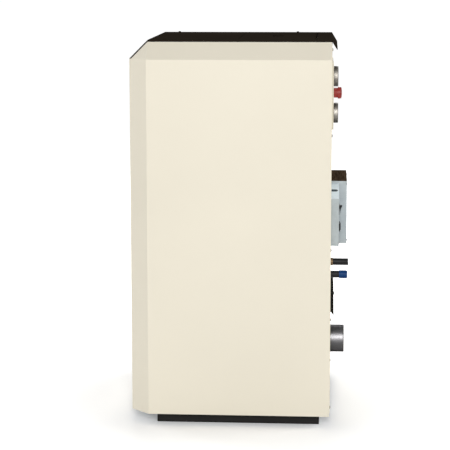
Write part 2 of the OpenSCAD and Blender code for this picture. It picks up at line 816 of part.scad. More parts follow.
// Comb of scraper rods: a bar in the hood, a disc scraper in each front tube, and the pull rod
bar_t = 6;
bar_z = jtop + 3 * bar_t;
disc_gap = 3;
disc_r = tube_r - tube_t - disc_gap;
module scraper() {
    bar_w = 16;
    rod_len = jtop - fb_top - 2 * bar_t;
    disc_n = 5;
    y0 = tube_rows_y[0];
    y1 = tube_rows_y[1];
    x = (tube_cols - 1) / 2 * tube_pitch;
    color([0.4, 0.4, 0.4]) union() {
        block([-bar_w / 2, y0, bar_z], [bar_w / 2, scraper_y + bar_w / 2, bar_z + bar_t]);
        for (y = [y0, y1]) block([-x - bar_w / 2, y - bar_w / 2, bar_z],
            [x + bar_w / 2, y + bar_w / 2, bar_z + bar_t]);
        tube_places() translate([0, 0, bar_z - rod_len]) cylinder(r = bar_t / 2, h = rod_len + bar_t / 2);
        tube_places() for (k = [0 : disc_n - 1])
            translate([0, 0, bar_z - rod_len + k * rod_len / disc_n]) cylinder(r = disc_r, h = bar_t / 2);
        translate([0, scraper_y, bar_z + bar_t / 2])
            cylinder(r = rod_r, h = knob_z + knob_seat - bar_z - bar_t / 2);
    }
}
knob_r = 14;
knob_h = 18;
knob_seat = 7;
knob_gap = 8;
knob_z = jtop + hood_h + bush_h + knob_gap;
module scraper_knob() {
    color([0.1, 0.1, 0.1]) translate([0, scraper_y, knob_z]) difference() {
        union() {
            cylinder(r = knob_r, h = 0.7 * knob_h);
            intersection() {
                cylinder(r = knob_r, h = knob_h);
                translate([0, 0, knob_h - 2 * knob_r]) sphere(r = 2 * knob_r);
            }
        }
        translate([0, 0, -cut]) cylinder(r = rod_r + run, h = cut + knob_seat + run);
    }
}

// Smoke box: a wide tray under the rear tubes and a tower beside the fan
tray_side = 35;
tray_front = 4;
tray_h = 56;
tower_side = 65;
tower_edge = 8;
tower_up = 30;
fan_lip = 1;
sb_x = jx - tray_side;
sb_y0 = rear_tube_y - rear_tube_r - tray_front;
sb_y1 = jy1 - box_t;
sb_z0 = jz - tray_h;
tower_x0 = -jx + tower_side;
tower_x1 = -fan_wall - fan_lip;
tower_y0 = jy1 + box_t;
tower_y1 = fan_y + inlet_r + tower_edge;
tower_z1 = fan_z + inlet_r + tower_up;
module smoke_box() {
    color([0.45, 0.46, 0.47]) difference() {
        union() {
            block([-sb_x, sb_y0, sb_z0], [sb_x, sb_y1, jz]);
            block([tower_x0, tower_y0 - 2 * box_t, sb_z0], [tower_x1, tower_y1, jz]);
            block([tower_x0, tower_y0, sb_z0], [tower_x1, tower_y1, tower_z1]);
        }
        block([-sb_x + box_t, sb_y0 + box_t, sb_z0 + box_t], [sb_x - box_t, sb_y1 - box_t, jz + cut]);
        block([tower_x0 + box_t, tower_y0 - 4 * box_t, sb_z0 + box_t],
            [tower_x1 - box_t, tower_y1 - box_t, jz - box_t]);
        block([tower_x0 + box_t, tower_y0 + box_t, sb_z0 + box_t],
            [tower_x1 - box_t, tower_y1 - box_t, tower_z1 - box_t]);
        rod_x([tower_x1 - 2 * box_t, fan_y, fan_z], inlet_r, 4 * box_t);
    }
}

// Smoke fan: round housing, impeller, motor and flue outlet
module fan_housing() {
    color([0.62, 0.63, 0.64]) difference() {
        union() {
            rod_x([-fan_wall, fan_y, fan_z], fan_r, 2 * fan_wall);
            rod_y([0, fan_y, flue_z], flue_r, fan_r);
            rod_x([-fan_wall - fan_lip, fan_y, fan_z], inlet_r + fan_t, 2 * fan_lip);
        }
        rod_x([-fan_wall + fan_t, fan_y, fan_z], fan_r - fan_t, 2 * fan_wall - 2 * fan_t);
        rod_y([0, fan_y, flue_z], flue_r - flue_t, fan_r + cut);
        rod_x([-fan_wall - fan_lip - cut, fan_y, fan_z], inlet_r, 2 * fan_t);
        rod_x([fan_wall - 2 * fan_t, fan_y, fan_z], 2 * shaft_r, 4 * fan_t);
    }
}
shaft_r = 4;
motor_r = 38;
motor_l = 80;
module fan_impeller() {
    tip_gap = 12;
    side_gap = 6;
    r = fan_r - fan_t - tip_gap;
    w = fan_wall - fan_t - side_gap;
    color([0.7, 0.7, 0.71]) translate([0, fan_y, fan_z]) rotate([0, 90, 0]) union() {
        translate([0, 0, w - fan_t]) cylinder(r = r, h = fan_t);
        translate([0, 0, -w / 3]) cylinder(r = 4 * shaft_r, h = 4 * w / 3);
        for (a = [0 : 30 : 330]) rotate(a) translate([3 * shaft_r, -fan_t / 2, -w])
            cube([r - 3 * shaft_r, fan_t, 2 * w - fan_t / 2]);
        cylinder(r = shaft_r, h = fan_wall + motor_l / 2);
    }
}
module fan_motor() {
    color([0.3, 0.3, 0.32]) difference() {
        union() {
            rod_x([fan_wall, fan_y, fan_z], motor_r, motor_l);
            rod_x([fan_wall + motor_l, fan_y, fan_z], motor_r / 2, fan_t);
        }
        rod_x([fan_wall - cut, fan_y, fan_z], shaft_r + run, motor_l / 2 + 4 * cut);
    }
}
// Feet that carry the fan housing and the motor on the floor plate
module fan_feet() {
    foot = 16;
    color([0.3, 0.3, 0.3]) {
        difference() {
            block([-foot, fan_y - foot, floor_top], [foot, fan_y + foot, fan_z]);
            rod_x([-2 * foot, fan_y, fan_z], fan_r, 4 * foot);
        }
        difference() {
            block([fan_wall + 2 * foot, fan_y - foot, floor_top],
                [fan_wall + 3 * foot, fan_y + foot, fan_z]);
            rod_x([fan_wall, fan_y, fan_z], motor_r, 4 * foot);
        }
    }
}
module flue_outlet() {
    collar = 4;
    color([0.62, 0.63, 0.64]) difference() {
        union() {
            rod_y([0, duct_y, flue_z], flue_r, rear_y + flue_out - duct_y);
            rod_y([0, duct_y, flue_z], flue_r + collar, collar);
        }
        rod_y([0, duct_y - cut, flue_z], flue_r - flue_t, flue_out + case_d);
    }
}

// Combustion air pipe from the rear panel into the space under the hearth
module air_pipe() {
    color([0.55, 0.56, 0.57]) difference() {
        rod_y([air_x, hearth_y1, air_z], air_r, rear_y - hearth_y1);
        rod_y([air_x, hearth_y1 - cut, air_z], air_r - box_t, case_d);
    }
}
// Folded black cowl over the air pipe: open below, with slanted ends and one centre nub
cowl_z1 = 399;
cowl_z0 = 288;
cowl_w = 74;
cowl_out = 9.5;
cowl_slope = 27;
cowl_nub_r = 4;
cowl_tab = 8;
cowl_low = 10;
// Depths of the cowl at its top, its shoulder and its lower rear edge
cowl_shares = [0.6, 0.9, 0.3];
module intake_cowl() {
    a = cowl_shares[0] * cowl_out;
    b = cowl_shares[1] * cowl_out;
    t = sheet;
    profile = [[0, cowl_z1], [a, cowl_z1], [b, cowl_z1 - cowl_slope], [cowl_out, cowl_z0],
        [cowl_shares[2] * cowl_out, cowl_z0 + cowl_low], [0, cowl_z0 + cowl_low]];
    inner = [[-cut, cowl_z1 - t], [a - t / 2, cowl_z1 - t], [b - t, cowl_z1 - cowl_slope],
        [cowl_out - t, cowl_z0 - cut], [-cut, cowl_z0 - cut]];
    color([0.1, 0.1, 0.1]) union() {
        translate([air_x, rear_y, 0]) rotate([90, 0, 90]) difference() {
            translate([0, 0, -cowl_w / 2]) linear_extrude(cowl_w) polygon(profile);
            translate([0, 0, -cowl_w / 2 + t]) linear_extrude(cowl_w - 2 * t) polygon(inner);
        }
        rod_y([air_x, rear_y + b - t / 2, (cowl_z0 + cowl_z1) / 2 + 3 * cowl_nub_r / 4],
            cowl_nub_r, t + cowl_out - b);
        for (s = [0, 1]) translate([air_x + (s ? cowl_w / 2 : -cowl_w / 2 - cowl_tab), rear_y, air_z])
            cube([cowl_tab, t, cowl_z1 - cowl_slope - air_z]);
    }
}

// Pellet hopper: straight bin, sloped bottom and neck over the auger
module hopper() {
    dip = 6;
    neck_z0 = auger_z + auger_r - dip;
    neck_z1 = auger_z + auger_r + 2 * cut;
    color([0.62, 0.63, 0.64]) difference() {
        union() {
            block([-hopper_w / 2, hopper_y0, hopper_neck_z], [hopper_w / 2, hopper_y1, hopper_top]);
            hopper_funnel(0);
            block([slot_x0, auger_y - slot_w / 2, neck_z0], [slot_x1, auger_y + slot_w / 2, neck_z1]);
        }
        block([-hopper_w / 2 + hopper_t, hopper_y0 + hopper_t, hopper_neck_z - cut],
            [hopper_w / 2 - hopper_t, hopper_y1 - hopper_t, hopper_top + cut]);
        hopper_funnel(hopper_t);
        block([slot_x0 + hopper_t, auger_y - slot_w / 2 + hopper_t, neck_z0 - cut],
            [slot_x1 - hopper_t, auger_y + slot_w / 2 - hopper_t, neck_z1 + cut]);
        rod_x([-case_w, auger_y, auger_z], auger_r, 2 * case_w);
    }
}
module hopper_funnel(t) {
    z0 = auger_z + auger_r + cut;
    hull() {
        block([-hopper_w / 2 + t, hopper_y0 + t, hopper_neck_z - cut],
            [hopper_w / 2 - t, hopper_y1 - t, hopper_neck_z + t / 2]);
        block([slot_x0 + t, auger_y - slot_w / 2 + t, z0 - t / 2],
            [slot_x1 - t, auger_y + slot_w / 2 - t, z0 + cut]);
    }
}
// Rails that hang the hopper from the rear panel
module hopper_brackets() {
    w = 20;
    color([0.5, 0.5, 0.5]) for (s = [0, 1]) mirror([s, 0, 0])
        block([hopper_w / 2 - 2 * w, hopper_y1, hopper_neck_z + w], [hopper_w / 2 - w, yr, hopper_top - w]);
}
module auger_tube() {
    color([0.5, 0.5, 0.51]) difference() {
        rod_x([auger_x0, auger_y, auger_z], auger_r, auger_x1 - auger_x0);
        rod_x([auger_x0 + auger_t, auger_y, auger_z], auger_r - auger_t, auger_x1 - auger_x0);
        block([slot_x0, auger_y - slot_w / 2, auger_z],
            [slot_x1, auger_y + slot_w / 2, auger_z + 2 * auger_r]);
        translate([0, auger_y, auger_z - 2 * auger_r]) cylinder(r = chute_r - chute_t, h = 2 * auger_r);
    }
}
screw_shaft_r = 8;
module auger_screw() {
    flight_gap = 1.5;
    x0 = auger_x0 + auger_t + flight_gap;
    l = auger_x1 - x0;
    pitch = 60;
    r = auger_r - auger_t - flight_gap;
    color([0.55, 0.55, 0.56]) translate([x0, auger_y, auger_z]) rotate([0, 90, 0]) union() {
        cylinder(r = screw_shaft_r, h = l + gear_shaft);
        linear_extrude(l - gear_wall, twist = -360 * (l - gear_wall) / pitch,
            slices = round(10 * l / pitch), $fn = 8) square([2 * r, auger_t * 1.5], center = true);
    }
}
// Gearmotor on the end of the auger
gear_wall = 3;
gear_shaft = 26;
gear_l = 34;
gear_w = 76;
module auger_gearmotor() {
    color([0.25, 0.25, 0.27]) translate([auger_x1, auger_y, auger_z]) rotate([0, 90, 0]) difference() {
        union() {
            translate([-gear_w / 2, -gear_w / 2, 0]) cube([gear_w, gear_w, gear_l]);
            translate([0, 0, gear_l]) cylinder(r = 0.4 * gear_w, h = 0.8 * gear_l);
        }
        translate([0, 0, -cut]) cylinder(r = screw_shaft_r + run, h = gear_shaft + 2 * cut);
    }
}
// Boot under the auger, and the sloped pipe from its side into the firebox
module pellet_chute() {
    color([0.5, 0.5, 0.51]) intersection() {
        difference() {
            chute_body(0);
            chute_body(chute_t);
            rod_x([-case_w, auger_y, auger_z], auger_r, 2 * case_w);
        }
        block([-2 * chute_r, hearth_y1 - lining_t, 0], [2 * chute_r, yr, auger_z]);
    }
}
module chute_body(i) {
    translate([0, auger_y, chute_bend_z]) union() {
        translate([0, 0, i - chute_r])
            cylinder(r = chute_r + 2 * chute_t - i, h = auger_z - chute_bend_z + chute_r);
        rotate([135, 0, 0]) cylinder(r = chute_r - i, h = case_d / 2);
    }
}

// Hopper lid with its knuckle, skirt and recessed pull
module hopper_lid() {
    x = lid_x - lid_gap;
    y0 = lid_y0 + lid_gap;
    y1 = lid_axis_y - sheet / 2;
    pull_w = 90;
    pull_y = 125;
    pull_d = 32;
    skirt = 9;
    color([0.13, 0.12, 0.1]) difference() {
        union() {
            block([-x, y0, zt - sheet], [x, y1, zt]);
            difference() {
                block([-x, y0, zt - skirt], [x, y1, zt]);
                block([-x + sheet, y0 + sheet, zt - skirt - cut], [x - sheet, y1 - sheet, zt + cut]);
            }
            rod_x([-x + 2 * rod_r, lid_axis_y, lid_axis_z], lid_knuckle_r, 2 * x - 4 * rod_r);
            block([-x + 2 * rod_r, y1 - sheet / 2, lid_axis_z],
                [x - 2 * rod_r, lid_axis_y, lid_axis_z + lid_knuckle_r]);
            block([-pull_w / 2 - sheet, pull_y - pull_d / 2 - sheet, zt - skirt - sheet],
                [pull_w / 2 + sheet, pull_y + pull_d / 2 + sheet, zt - sheet / 2]);
        }
        block([-pull_w / 2, pull_y - pull_d / 2, zt - skirt], [pull_w / 2, pull_y + pull_d / 2, zt + cut]);
        rod_x([-case_w, lid_axis_y, lid_axis_z], lid_pin_r + run, 2 * case_w);
    }
}
// Two pins with their ears under the black top
module lid_hinge_pins() {
    x = lid_x - lid_gap;
    ear = 4;
    color([0.5, 0.5, 0.5]) for (s = [0, 1]) mirror([s, 0, 0]) union() {
        rod_x([x - 6 * ear, lid_axis_y, lid_axis_z], lid_pin_r, 6 * ear + lid_gap + ear);
        block([lid_x, lid_axis_y - ear, lid_axis_z - ear], [lid_x + ear, lid_axis_y + ear, zt - sheet]);
    }
}

// Pipes: flow straight to the back, return through the pump, a branch to the vessel, a feed to the valve
flow_out = 50;
return_out = 24;
flow_end = rear_y + flow_out;
return_end = rear_y + return_out;
pump_in = 45;
pump_l = 96;
pump_r = 40;
pump_y0 = jy1 + pump_in;
pump_y1 = pump_y0 + pump_l;
pipe_t = 1.2;
vessel_r = 66;
vessel_l = 112;
vessel_dome = 18;
vessel_x = -178;
vessel_z = 352;
vessel_y = pump_y0 + pump_r;
nipple_x = vessel_x + vessel_l / 2;
nipple_z = vessel_z + vessel_r + pipe_r;
module tube_y(p, r, t, l) {
    difference() {
        rod_y(p, r, l);
        rod_y([p[0], p[1] - cut, p[2]], r - t, l + 2 * cut);
    }
}
module water_pipes() {
    color([0.72, 0.45, 0.3]) {
        tube_y([flow_x, jy1, flow_z], pipe_r, pipe_t, flow_end - jy1);
        tube_y([return_x, jy1, return_z], pipe_r, pipe_t, pump_y0 - jy1);
        tube_y([return_x, pump_y1, return_z], pipe_r, pipe_t, return_end - pump_y1);
        rod_y([nipple_x, jy1, nipple_z + pipe_r / 2], pipe_r, vessel_y - pipe_r - clear - jy1);
        union() {
            translate([valve_x, feed_y, feed_z]) cylinder(r = feed_r, h = valve_z - feed_drop - feed_z);
            translate([valve_x, feed_y, feed_z]) sphere(r = feed_r);
            rod_y([valve_x, jy1, feed_z], feed_r, feed_y - jy1);
        }
    }
}
// Black sleeves on the two pipe ends and the blue cap on the return
sleeve_t = 0.8;
sleeve_gap = 4;
cap_r = 10.6;
cap_l = 23;
cap_rib = 0.8;
module pipe_sleeves() {
    color([0.05, 0.05, 0.05]) {
        tube_y([flow_x, rear_y, flow_z], pipe_r + sleeve_t, sleeve_t, flow_out - sleeve_gap);
        tube_y([return_x, rear_y, return_z], pipe_r + sleeve_t, sleeve_t, return_out);
    }
}
module return_plug() {
    ribs = 12;
    rib_share = 0.8;
    color([0.1, 0.3, 0.62]) translate([return_x, return_end, return_z]) rotate([-90, 0, 0]) difference() {
        union() {
            cylinder(r = cap_r, h = cap_l);
            for (k = [0 : ribs - 1]) rotate(k * 360 / ribs)
                translate([cap_r - cap_rib, -cap_rib, cap_rib])
                    cube([2 * cap_rib, 2 * cap_rib, rib_share * cap_l]);
        }
        translate([0, 0, -cut]) cylinder(r = pipe_r - pipe_t, h = cap_l / 2);
    }
}
module circulation_pump() {
    y = pump_y0 + pump_l / 2;
    color([0.5, 0.12, 0.1]) difference() {
        union() {
            rod_y([return_x, pump_y0, return_z], 1.8 * pipe_r, pump_l);
            rod_x([return_x - pump_r / 2, y, return_z], pump_r, pump_r);
            rod_x([return_x + pump_r / 2, y, return_z], 0.8 * pump_r, 1.4 * pump_r);
        }
        rod_y([return_x, pump_y0 - cut, return_z], pipe_r - pipe_t, pump_l + 2 * cut);
    }
}
module expansion_vessel() {
    h = vessel_l / 2;
    color([0.6, 0.15, 0.12]) union() {
        intersection() {
            rod_x([vessel_x, vessel_y, vessel_z], vessel_r, vessel_l);
            translate([vessel_x + h, vessel_y, vessel_z])
                sphere(r = sqrt(vessel_r * vessel_r + h * h) - vessel_dome / 2);
        }
        translate([nipple_x, vessel_y, vessel_z + vessel_r - pipe_r]) cylinder(r = pipe_r, h = 3 * pipe_r);
    }
}
// Shelf and cradle under the vessel, fixed to the rear panel
module vessel_bracket() {
    shelf_t = 3;
    cradle = 20;
    z = vessel_z - vessel_r;
    color([0.4, 0.4, 0.4]) union() {
        block([vessel_x, pump_y0, z - shelf_t], [vessel_x + vessel_l, yr, z]);
        difference() {
            block([vessel_x + cradle, vessel_y - cradle, z],
                [vessel_x + vessel_l - cradle, vessel_y + cradle, vessel_z]);
            rod_x([vessel_x, vessel_y, vessel_z], vessel_r, vessel_l);
        }
    }
}

// Gauge plate with a bent top, two gauges and the safety valve
plate_x0 = -22;
plate_x1 = 178;
plate_down = 57;
plate_h = 196;
plate_z1 = zt - plate_down;
plate_z0 = plate_z1 - plate_h;
plate_bend = 18;
plate_out = 4.5;
plate_y = rear_y + plate_out;
bezel_out = 13;
bezel_wall = 4;
dial_t = 2;
needle_pin_r = 0.8;
needle_w = 1.2;
module gauge_plate() {
    top = plate_z1 - plate_bend;
    color([0.82, 0.8, 0.74]) difference() {
        union() {
            block([plate_x0, rear_y, plate_z0], [plate_x1, plate_y, top]);
            translate([plate_x0, plate_y, top]) rotate([90, 0, 90]) linear_extrude(plate_x1 - plate_x0)
                polygon([[-plate_out, 0], [0, 0], [-plate_out, plate_bend]]);
        }
        block([plate_x0 + rear_t, rear_y - cut, plate_z0 + rear_t],
            [plate_x1 - rear_t, plate_y - rear_t, top - rear_t]);
        rod_y([valve_x, rear_y, valve_z], feed_r + clear, 2 * plate_out);
    }
}
module gauge_at(k) {
    translate([gauge_x, plate_y, gauge_z[k]]) rotate([-90, 0, 0]) children();
}
module gauge_cases() {
    color([0.8, 0.8, 0.8]) for (k = [0, 1]) gauge_at(k) difference() {
        union() {
            cylinder(r = gauge_r - dial_t, h = bezel_out - dial_t);
            translate([0, 0, bezel_out - 2.5 * dial_t]) cylinder(r = gauge_r, h = 2 * dial_t);
            translate([0, 0, bezel_out - dial_t]) cylinder(r = gauge_r - dial_t / 2, h = dial_t);
        }
        translate([0, 0, dial_t]) cylinder(r = gauge_r - bezel_wall, h = bezel_out);
    }
}
module gauge_dials() {
    color([0.95, 0.95, 0.93]) for (k = [0, 1]) gauge_at(k) translate([0, 0, dial_t]) union() {
        cylinder(r = gauge_r - bezel_wall, h = dial_t);
        cylinder(r = needle_pin_r, h = 2.2 * dial_t);
    }
}
module gauge_glasses() {
    color([0.9, 0.95, 0.95, 0.3]) for (k = [0, 1]) gauge_at(k)
        translate([0, 0, bezel_out - 1.5 * dial_t]) cylinder(r = gauge_r - bezel_wall, h = dial_t);
}
module needle(k) {
    tip = gauge_r - 2 * bezel_wall;
    tail_share = 0.385;
    color([0.1, 0.1, 0.1]) gauge_at(k) translate([0, 0, 2 * dial_t + clear]) difference() {
        union() {
            cylinder(r = 3 * needle_pin_r, h = dial_t / 2);
            translate([-needle_w / 2, -tip, 0]) cube([needle_w, tip, dial_t / 3]);
            translate([-1.5 * needle_w, 0, 0]) cube([3 * needle_w, tail_share * tip, dial_t / 2]);
        }
        translate([0, 0, -cut]) cylinder(r = needle_pin_r + run, h = dial_t + 2 * cut);
    }
}
module temperature_needle() {
    needle(0);
}
module pressure_needle() {
    needle(1);
}
// Brass valve body: elbow behind the panel and a neck through it
cap_seat = 7;
valve_stem_r = 14;
valve_neck = 11;
valve_rim = 9.7;
module safety_valve_body() {
    color([0.72, 0.58, 0.3]) union() {
        translate([valve_x, feed_y, valve_z - feed_drop]) cylinder(r = feed_r, h = feed_drop);
        translate([valve_x, feed_y, valve_z]) sphere(r = feed_r);
        rod_y([valve_x, feed_y, valve_z], feed_r, plate_y + cap_seat - feed_y);
    }
}
module valve_cap() {
    lobes = 8;
    lobe_r = 4;
    l = valve_neck + valve_rim;
    edge = 2;
    color([0.7, 0.16, 0.12]) translate([valve_x, plate_y + clear, valve_z])
    rotate([-90, 0, 0]) difference() {
        union() {
            cylinder(r = valve_stem_r, h = l - edge);
            translate([0, 0, valve_neck]) cylinder(r = valve_r, h = valve_rim - edge);
            translate([0, 0, l - edge]) cylinder(r1 = valve_r, r2 = valve_r - edge, h = edge);
        }
        translate([0, 0, -cut]) cylinder(r = feed_r + run, h = cap_seat + cut);
        for (k = [0 : lobes - 1]) rotate(k * 360 / lobes) translate([valve_stem_r + 0.7 * lobe_r, 0, -cut])
            cylinder(r = lobe_r, h = valve_neck);
    }
}

// Control box, its vented dark lid and circuit board
box_x0 = box_x1 - box_w;
box_sheet = 1.2;
lid_t = 2;
lid_margin = 12;
box_z1 = box_z + box_h;
box_y1 = rear_y + box_out;
module control_box() {
    color([0.72, 0.75, 0.76]) difference() {
        block([box_x0, rear_y, box_z], [box_x1, box_y1, box_z1]);
        block([box_x0 + box_sheet, rear_y - cut, box_z + box_sheet],
            [box_x1 - box_sheet, box_y1 - box_sheet, box_z1 + cut]);
    }
}
module control_box_lid() {
    slots = 16;
    pitch = (box_w - 2 * lid_margin) / slots;
    color([0.22, 0.15, 0.11]) difference() {
        block([box_x0, rear_y, box_z1], [box_x1, box_y1, box_z1 + lid_t]);
        for (k = [0 : slots - 1])
            block([box_x0 + lid_margin + (k + 1 / 4) * pitch, rear_y + lid_margin, box_z1 - cut],
                [box_x0 + lid_margin + (k + 3 / 4) * pitch, box_y1 - lid_margin, box_z1 + lid_t + cut]);
    }
}
board_edge = 14;
board_t = 1.6;
board_up = 8;
board_post_r = 3;
module circuit_board() {
    m = board_edge;
    y = rear_y + board_up;
    color([0.1, 0.35, 0.18]) union() {
        for (x = [box_x0 + 2 * m, box_x1 - 2 * m]) for (z = [box_z + 2 * m, box_z1 - 2 * m])
            rod_y([x, rear_y, z], board_post_r, board_up);
        block([box_x0 + m, y, box_z + m], [box_x1 - m, y + board_t, box_z1 - m]);
        block([box_x0 + 2 * m, y, box_z + 3 * m], [box_x0 + 5 * m, y + 1.5 * m, box_z + 5 * m]);
        for (k = [0 : 4]) block([box_x0 + (6 + k) * m, y, box_z + 1.5 * m],
            [box_x0 + (6.8 + k) * m, y + m, box_z + 2.5 * m]);
    }
}

// Switch box with a sloped top, a rocker switch and the mains inlet
switch_y1 = rear_y + switch_out;
switch_x1 = box_x1 + switch_w;
rocker_x = box_x1 + 0.55 * switch_w;
rocker_up = 99.5;
rocker_z = switch_z + rocker_up;
rocker_w = 13;
rocker_h = 27;
socket_t = 1.2;
socket_d = 12;
inlet_up = 49;
inlet_z = switch_z + inlet_up;
inlet_w = 27;
inlet_h = 20;
inlet_d = 17;
inlet_out = 3.2;
inlet_ear = 6.4;
inlet_wall = 1.6;
module switch_outline(i) {
    polygon([[box_x1 + i, switch_z + i], [switch_x1 - i, switch_z + i],
        [switch_x1 - i, switch_z + switch_h0 - i],
        [box_x1 + i, switch_z + switch_h0 + switch_rise - 1.5 * i]]);
}
module switch_box() {
    t = box_sheet;
    color([0.72, 0.75, 0.76]) difference() {
        translate([0, switch_y1, 0]) rotate([90, 0, 0]) linear_extrude(switch_out) switch_outline(0);
        translate([0, switch_y1 - t, 0]) rotate([90, 0, 0]) linear_extrude(switch_out) switch_outline(t);
        block([rocker_x - rocker_w / 2 - t, switch_y1 - 2 * t, rocker_z - rocker_h / 2 - t],
            [rocker_x + rocker_w / 2 + t, switch_y1 + cut, rocker_z + rocker_h / 2 + t]);
        block([rocker_x - inlet_w / 2, switch_y1 - 2 * t, inlet_z - inlet_h / 2],
            [rocker_x + inlet_w / 2, switch_y1 + cut, inlet_z + inlet_h / 2]);
    }
}
rocker_pin_r = 1;
rocker_in = 2;
module rocker_frame() {
    t = socket_t;
    w = rocker_w / 2 + t;
    h = rocker_h / 2 + t;
    color([0.06, 0.06, 0.06]) difference() {
        union() {
            block([rocker_x - w, switch_y1 - socket_d, rocker_z - h],
                [rocker_x + w, switch_y1, rocker_z + h]);
            block([rocker_x - w - t, switch_y1, rocker_z - h - t],
                [rocker_x + w + t, switch_y1 + t, rocker_z + h + t]);
        }
        block([rocker_x - w + t, switch_y1 - socket_d + t, rocker_z - h + t],
            [rocker_x + w - t, switch_y1 + socket_d, rocker_z + h - t]);
        rod_x([rocker_x - w - cut, switch_y1 - rocker_in, rocker_z], rocker_pin_r + run, 2 * w + 2 * cut);
    }
}
// Rocker at rest with its upper half proud; side outline by share of its half height
rocker_tilt = 9;
rocker_deep = 2.5;
rocker_mid = 4;
rocker_end = 5;
module rocker() {
    w = rocker_w / 2 - clear;
    h = rocker_h / 2 - socket_t;
    color([0.05, 0.05, 0.05]) translate([rocker_x, switch_y1 - rocker_in, rocker_z])
    rotate([-rocker_tilt, 0, 0]) union() {
        translate([-w, 0, 0]) rotate([90, 0, 90]) linear_extrude(2 * w)
            polygon([[-rocker_deep, -h / 2], [rocker_deep, -h], [rocker_end, -h], [rocker_mid, 0],
                [rocker_end, h], [rocker_deep, h], [-rocker_deep, h / 2]]);
        rod_x([-w - socket_t, 0, 0], rocker_pin_r, 2 * w + 2 * socket_t);
    }
}
module power_inlet() {
    t = inlet_wall;
    w = inlet_w / 2;
    h = inlet_h / 2;
    color([0.07, 0.07, 0.07]) difference() {
        union() {
            block([rocker_x - w, switch_y1 - inlet_d, inlet_z - h], [rocker_x + w, switch_y1, inlet_z + h]);
            block([rocker_x - w - inlet_ear, switch_y1, inlet_z - h - t],
                [rocker_x + w + inlet_ear, switch_y1 + inlet_out, inlet_z + h + t]);
        }
        block([rocker_x - w + t, switch_y1 - inlet_d + t, inlet_z - h + t],
            [rocker_x + w - t, switch_y1 + inlet_out + cut, inlet_z + h - t]);
    }
}
blade_pitch = 7;
blade_t = 2;
blade_h = 4;
module inlet_pins() {
    color([0.75, 0.75, 0.72]) for (k = [-1, 0, 1])
        translate([rocker_x + k * blade_pitch - blade_t / 2, switch_y1 - inlet_d + inlet_wall,
            inlet_z - blade_h / 2 + (k == 0 ? blade_t : -blade_t)])
        cube([blade_t, inlet_d - 2 * inlet_wall, blade_h]);
}

// Console in the front slope: bezel and two buttons
button_r = 6;
button_pitch = 26;
button_up = 1;
button_foot = 3;
console_t = 3;
console_flange = 5;
console_deep = -sheet - console_t;
button_x = console_w / 2 - 5 * button_r;
window_x = -console_w / 2 + 2 * button_r;
window_w = console_w / 2 - 2 * button_r;
window_h = 28;
module console_bezel() {
    w = console_w / 2;
    h = console_h / 2;
    color([0.08, 0.08, 0.08]) on_slope() difference() {
        union() {
            translate([-w, -h, -sheet]) cube([2 * w, 2 * h, sheet]);
            translate([-w - console_flange, -h - sheet, console_deep])
                cube([2 * w + 2 * console_flange, 2 * h + 2 * sheet, console_t]);
        }
        for (k = [0, 1]) translate([button_x - k * button_pitch, 0, console_deep - cut])
            cylinder(r = button_r + clear, h = 2 * console_w);
        translate([window_x, -window_h / 2, -sheet]) cube([window_w, window_h, 2 * sheet]);
    }
}
module console_button(k) {
    color([0.3, 0.3, 0.3]) on_slope() translate([button_x - k * button_pitch, 0, console_deep]) union() {
        translate([0, 0, -cut]) cylinder(r = button_r, h = button_up + cut - console_deep);
        translate([0, 0, -button_foot]) cylinder(r = button_r + button_up, h = button_foot - clear);
    }
}
module console_board() {
    w = console_w / 2;
    drop = 8;
    color([0.1, 0.35, 0.18]) on_slope() union() {
        translate([-w, -console_h / 3, console_deep - drop]) cube([console_w, 2 * console_h / 3, board_t]);
        for (s = [-1, 1]) translate([s * (w - board_post_r), 0, console_deep - drop])
            cylinder(r = board_post_r, h = drop);
    }
}

// Small pieces of one kind share a sub-part, as separate solids
module plinth_rails() {
    plinth_side_rails();
    plinth_cross_rails();
}
module front_panels() {
    upper_front_panel();
    lower_front_panel();
    front_jambs();
}
module case_screws() {
    panel_screws();
    top_screws();
}
module hinge_pins() {
    door_hinge_brackets();
    lid_hinge_pins();
}
module latch_handle() {
    door_handle();
    handle_grip();
}
module inner_supports() {
    boiler_stand();
    ash_runners();
    hearth_supports();
    fan_feet();
    vessel_bracket();
    hopper_brackets();
}
module smoke_tubes() {
    front_smoke_tubes();
    rear_smoke_tubes();
}
module linings() {
    rear_lining();
    side_linings();
}
module scraper_comb() {
    scraper();
    scraper_knob();
}
module drive_motors() {
    fan_motor();
    auger_gearmotor();
}
module gauges() {
    gauge_cases();
    gauge_dials();
}
module circuit_boards() {
    circuit_board();
    console_board();
}
module mains_fittings() {
    rocker_frame();
    power_inlet();
    inlet_pins();
}
module button_power() {
    console_button(0);
}
module button_mode() {
    console_button(1);
}

// Every sub-part by name
// Sub-part to draw, or all of them

plinth_rails();
floor_plate();
right_side_panel();
left_side_panel();
front_panels();
top_cover();
rear_panel();
case_screws();
door_frame();
door_glass();
glass_retainer();
door_rope();
hinge_pins();
latch_handle();
ash_drawer_front();
ash_pan();
water_jacket();
firebox();
boiler_front_plate();
smoke_tubes();
inner_supports();
hearth_plate();
linings();
burner_pot();
igniter();
smoke_hood();
scraper_comb();
smoke_box();
fan_housing();
fan_impeller();
drive_motors();
flue_outlet();
air_pipe();
intake_cowl();
hopper();
auger_tube();
auger_screw();
pellet_chute();
hopper_lid();
water_pipes();
pipe_sleeves();
return_plug();
circulation_pump();
expansion_vessel();
gauge_plate();
gauges();
gauge_glasses();
temperature_needle();
pressure_needle();
safety_valve_body();
valve_cap();
control_box();
control_box_lid();
circuit_boards();
switch_box();
mains_fittings();
rocker();
console_bezel();
button_power();
button_mode();
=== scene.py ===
"""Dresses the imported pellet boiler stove: procedural finishes, small visual pieces, light and camera."""
import math

import bmesh
import bpy
from mathutils import Matrix, Vector


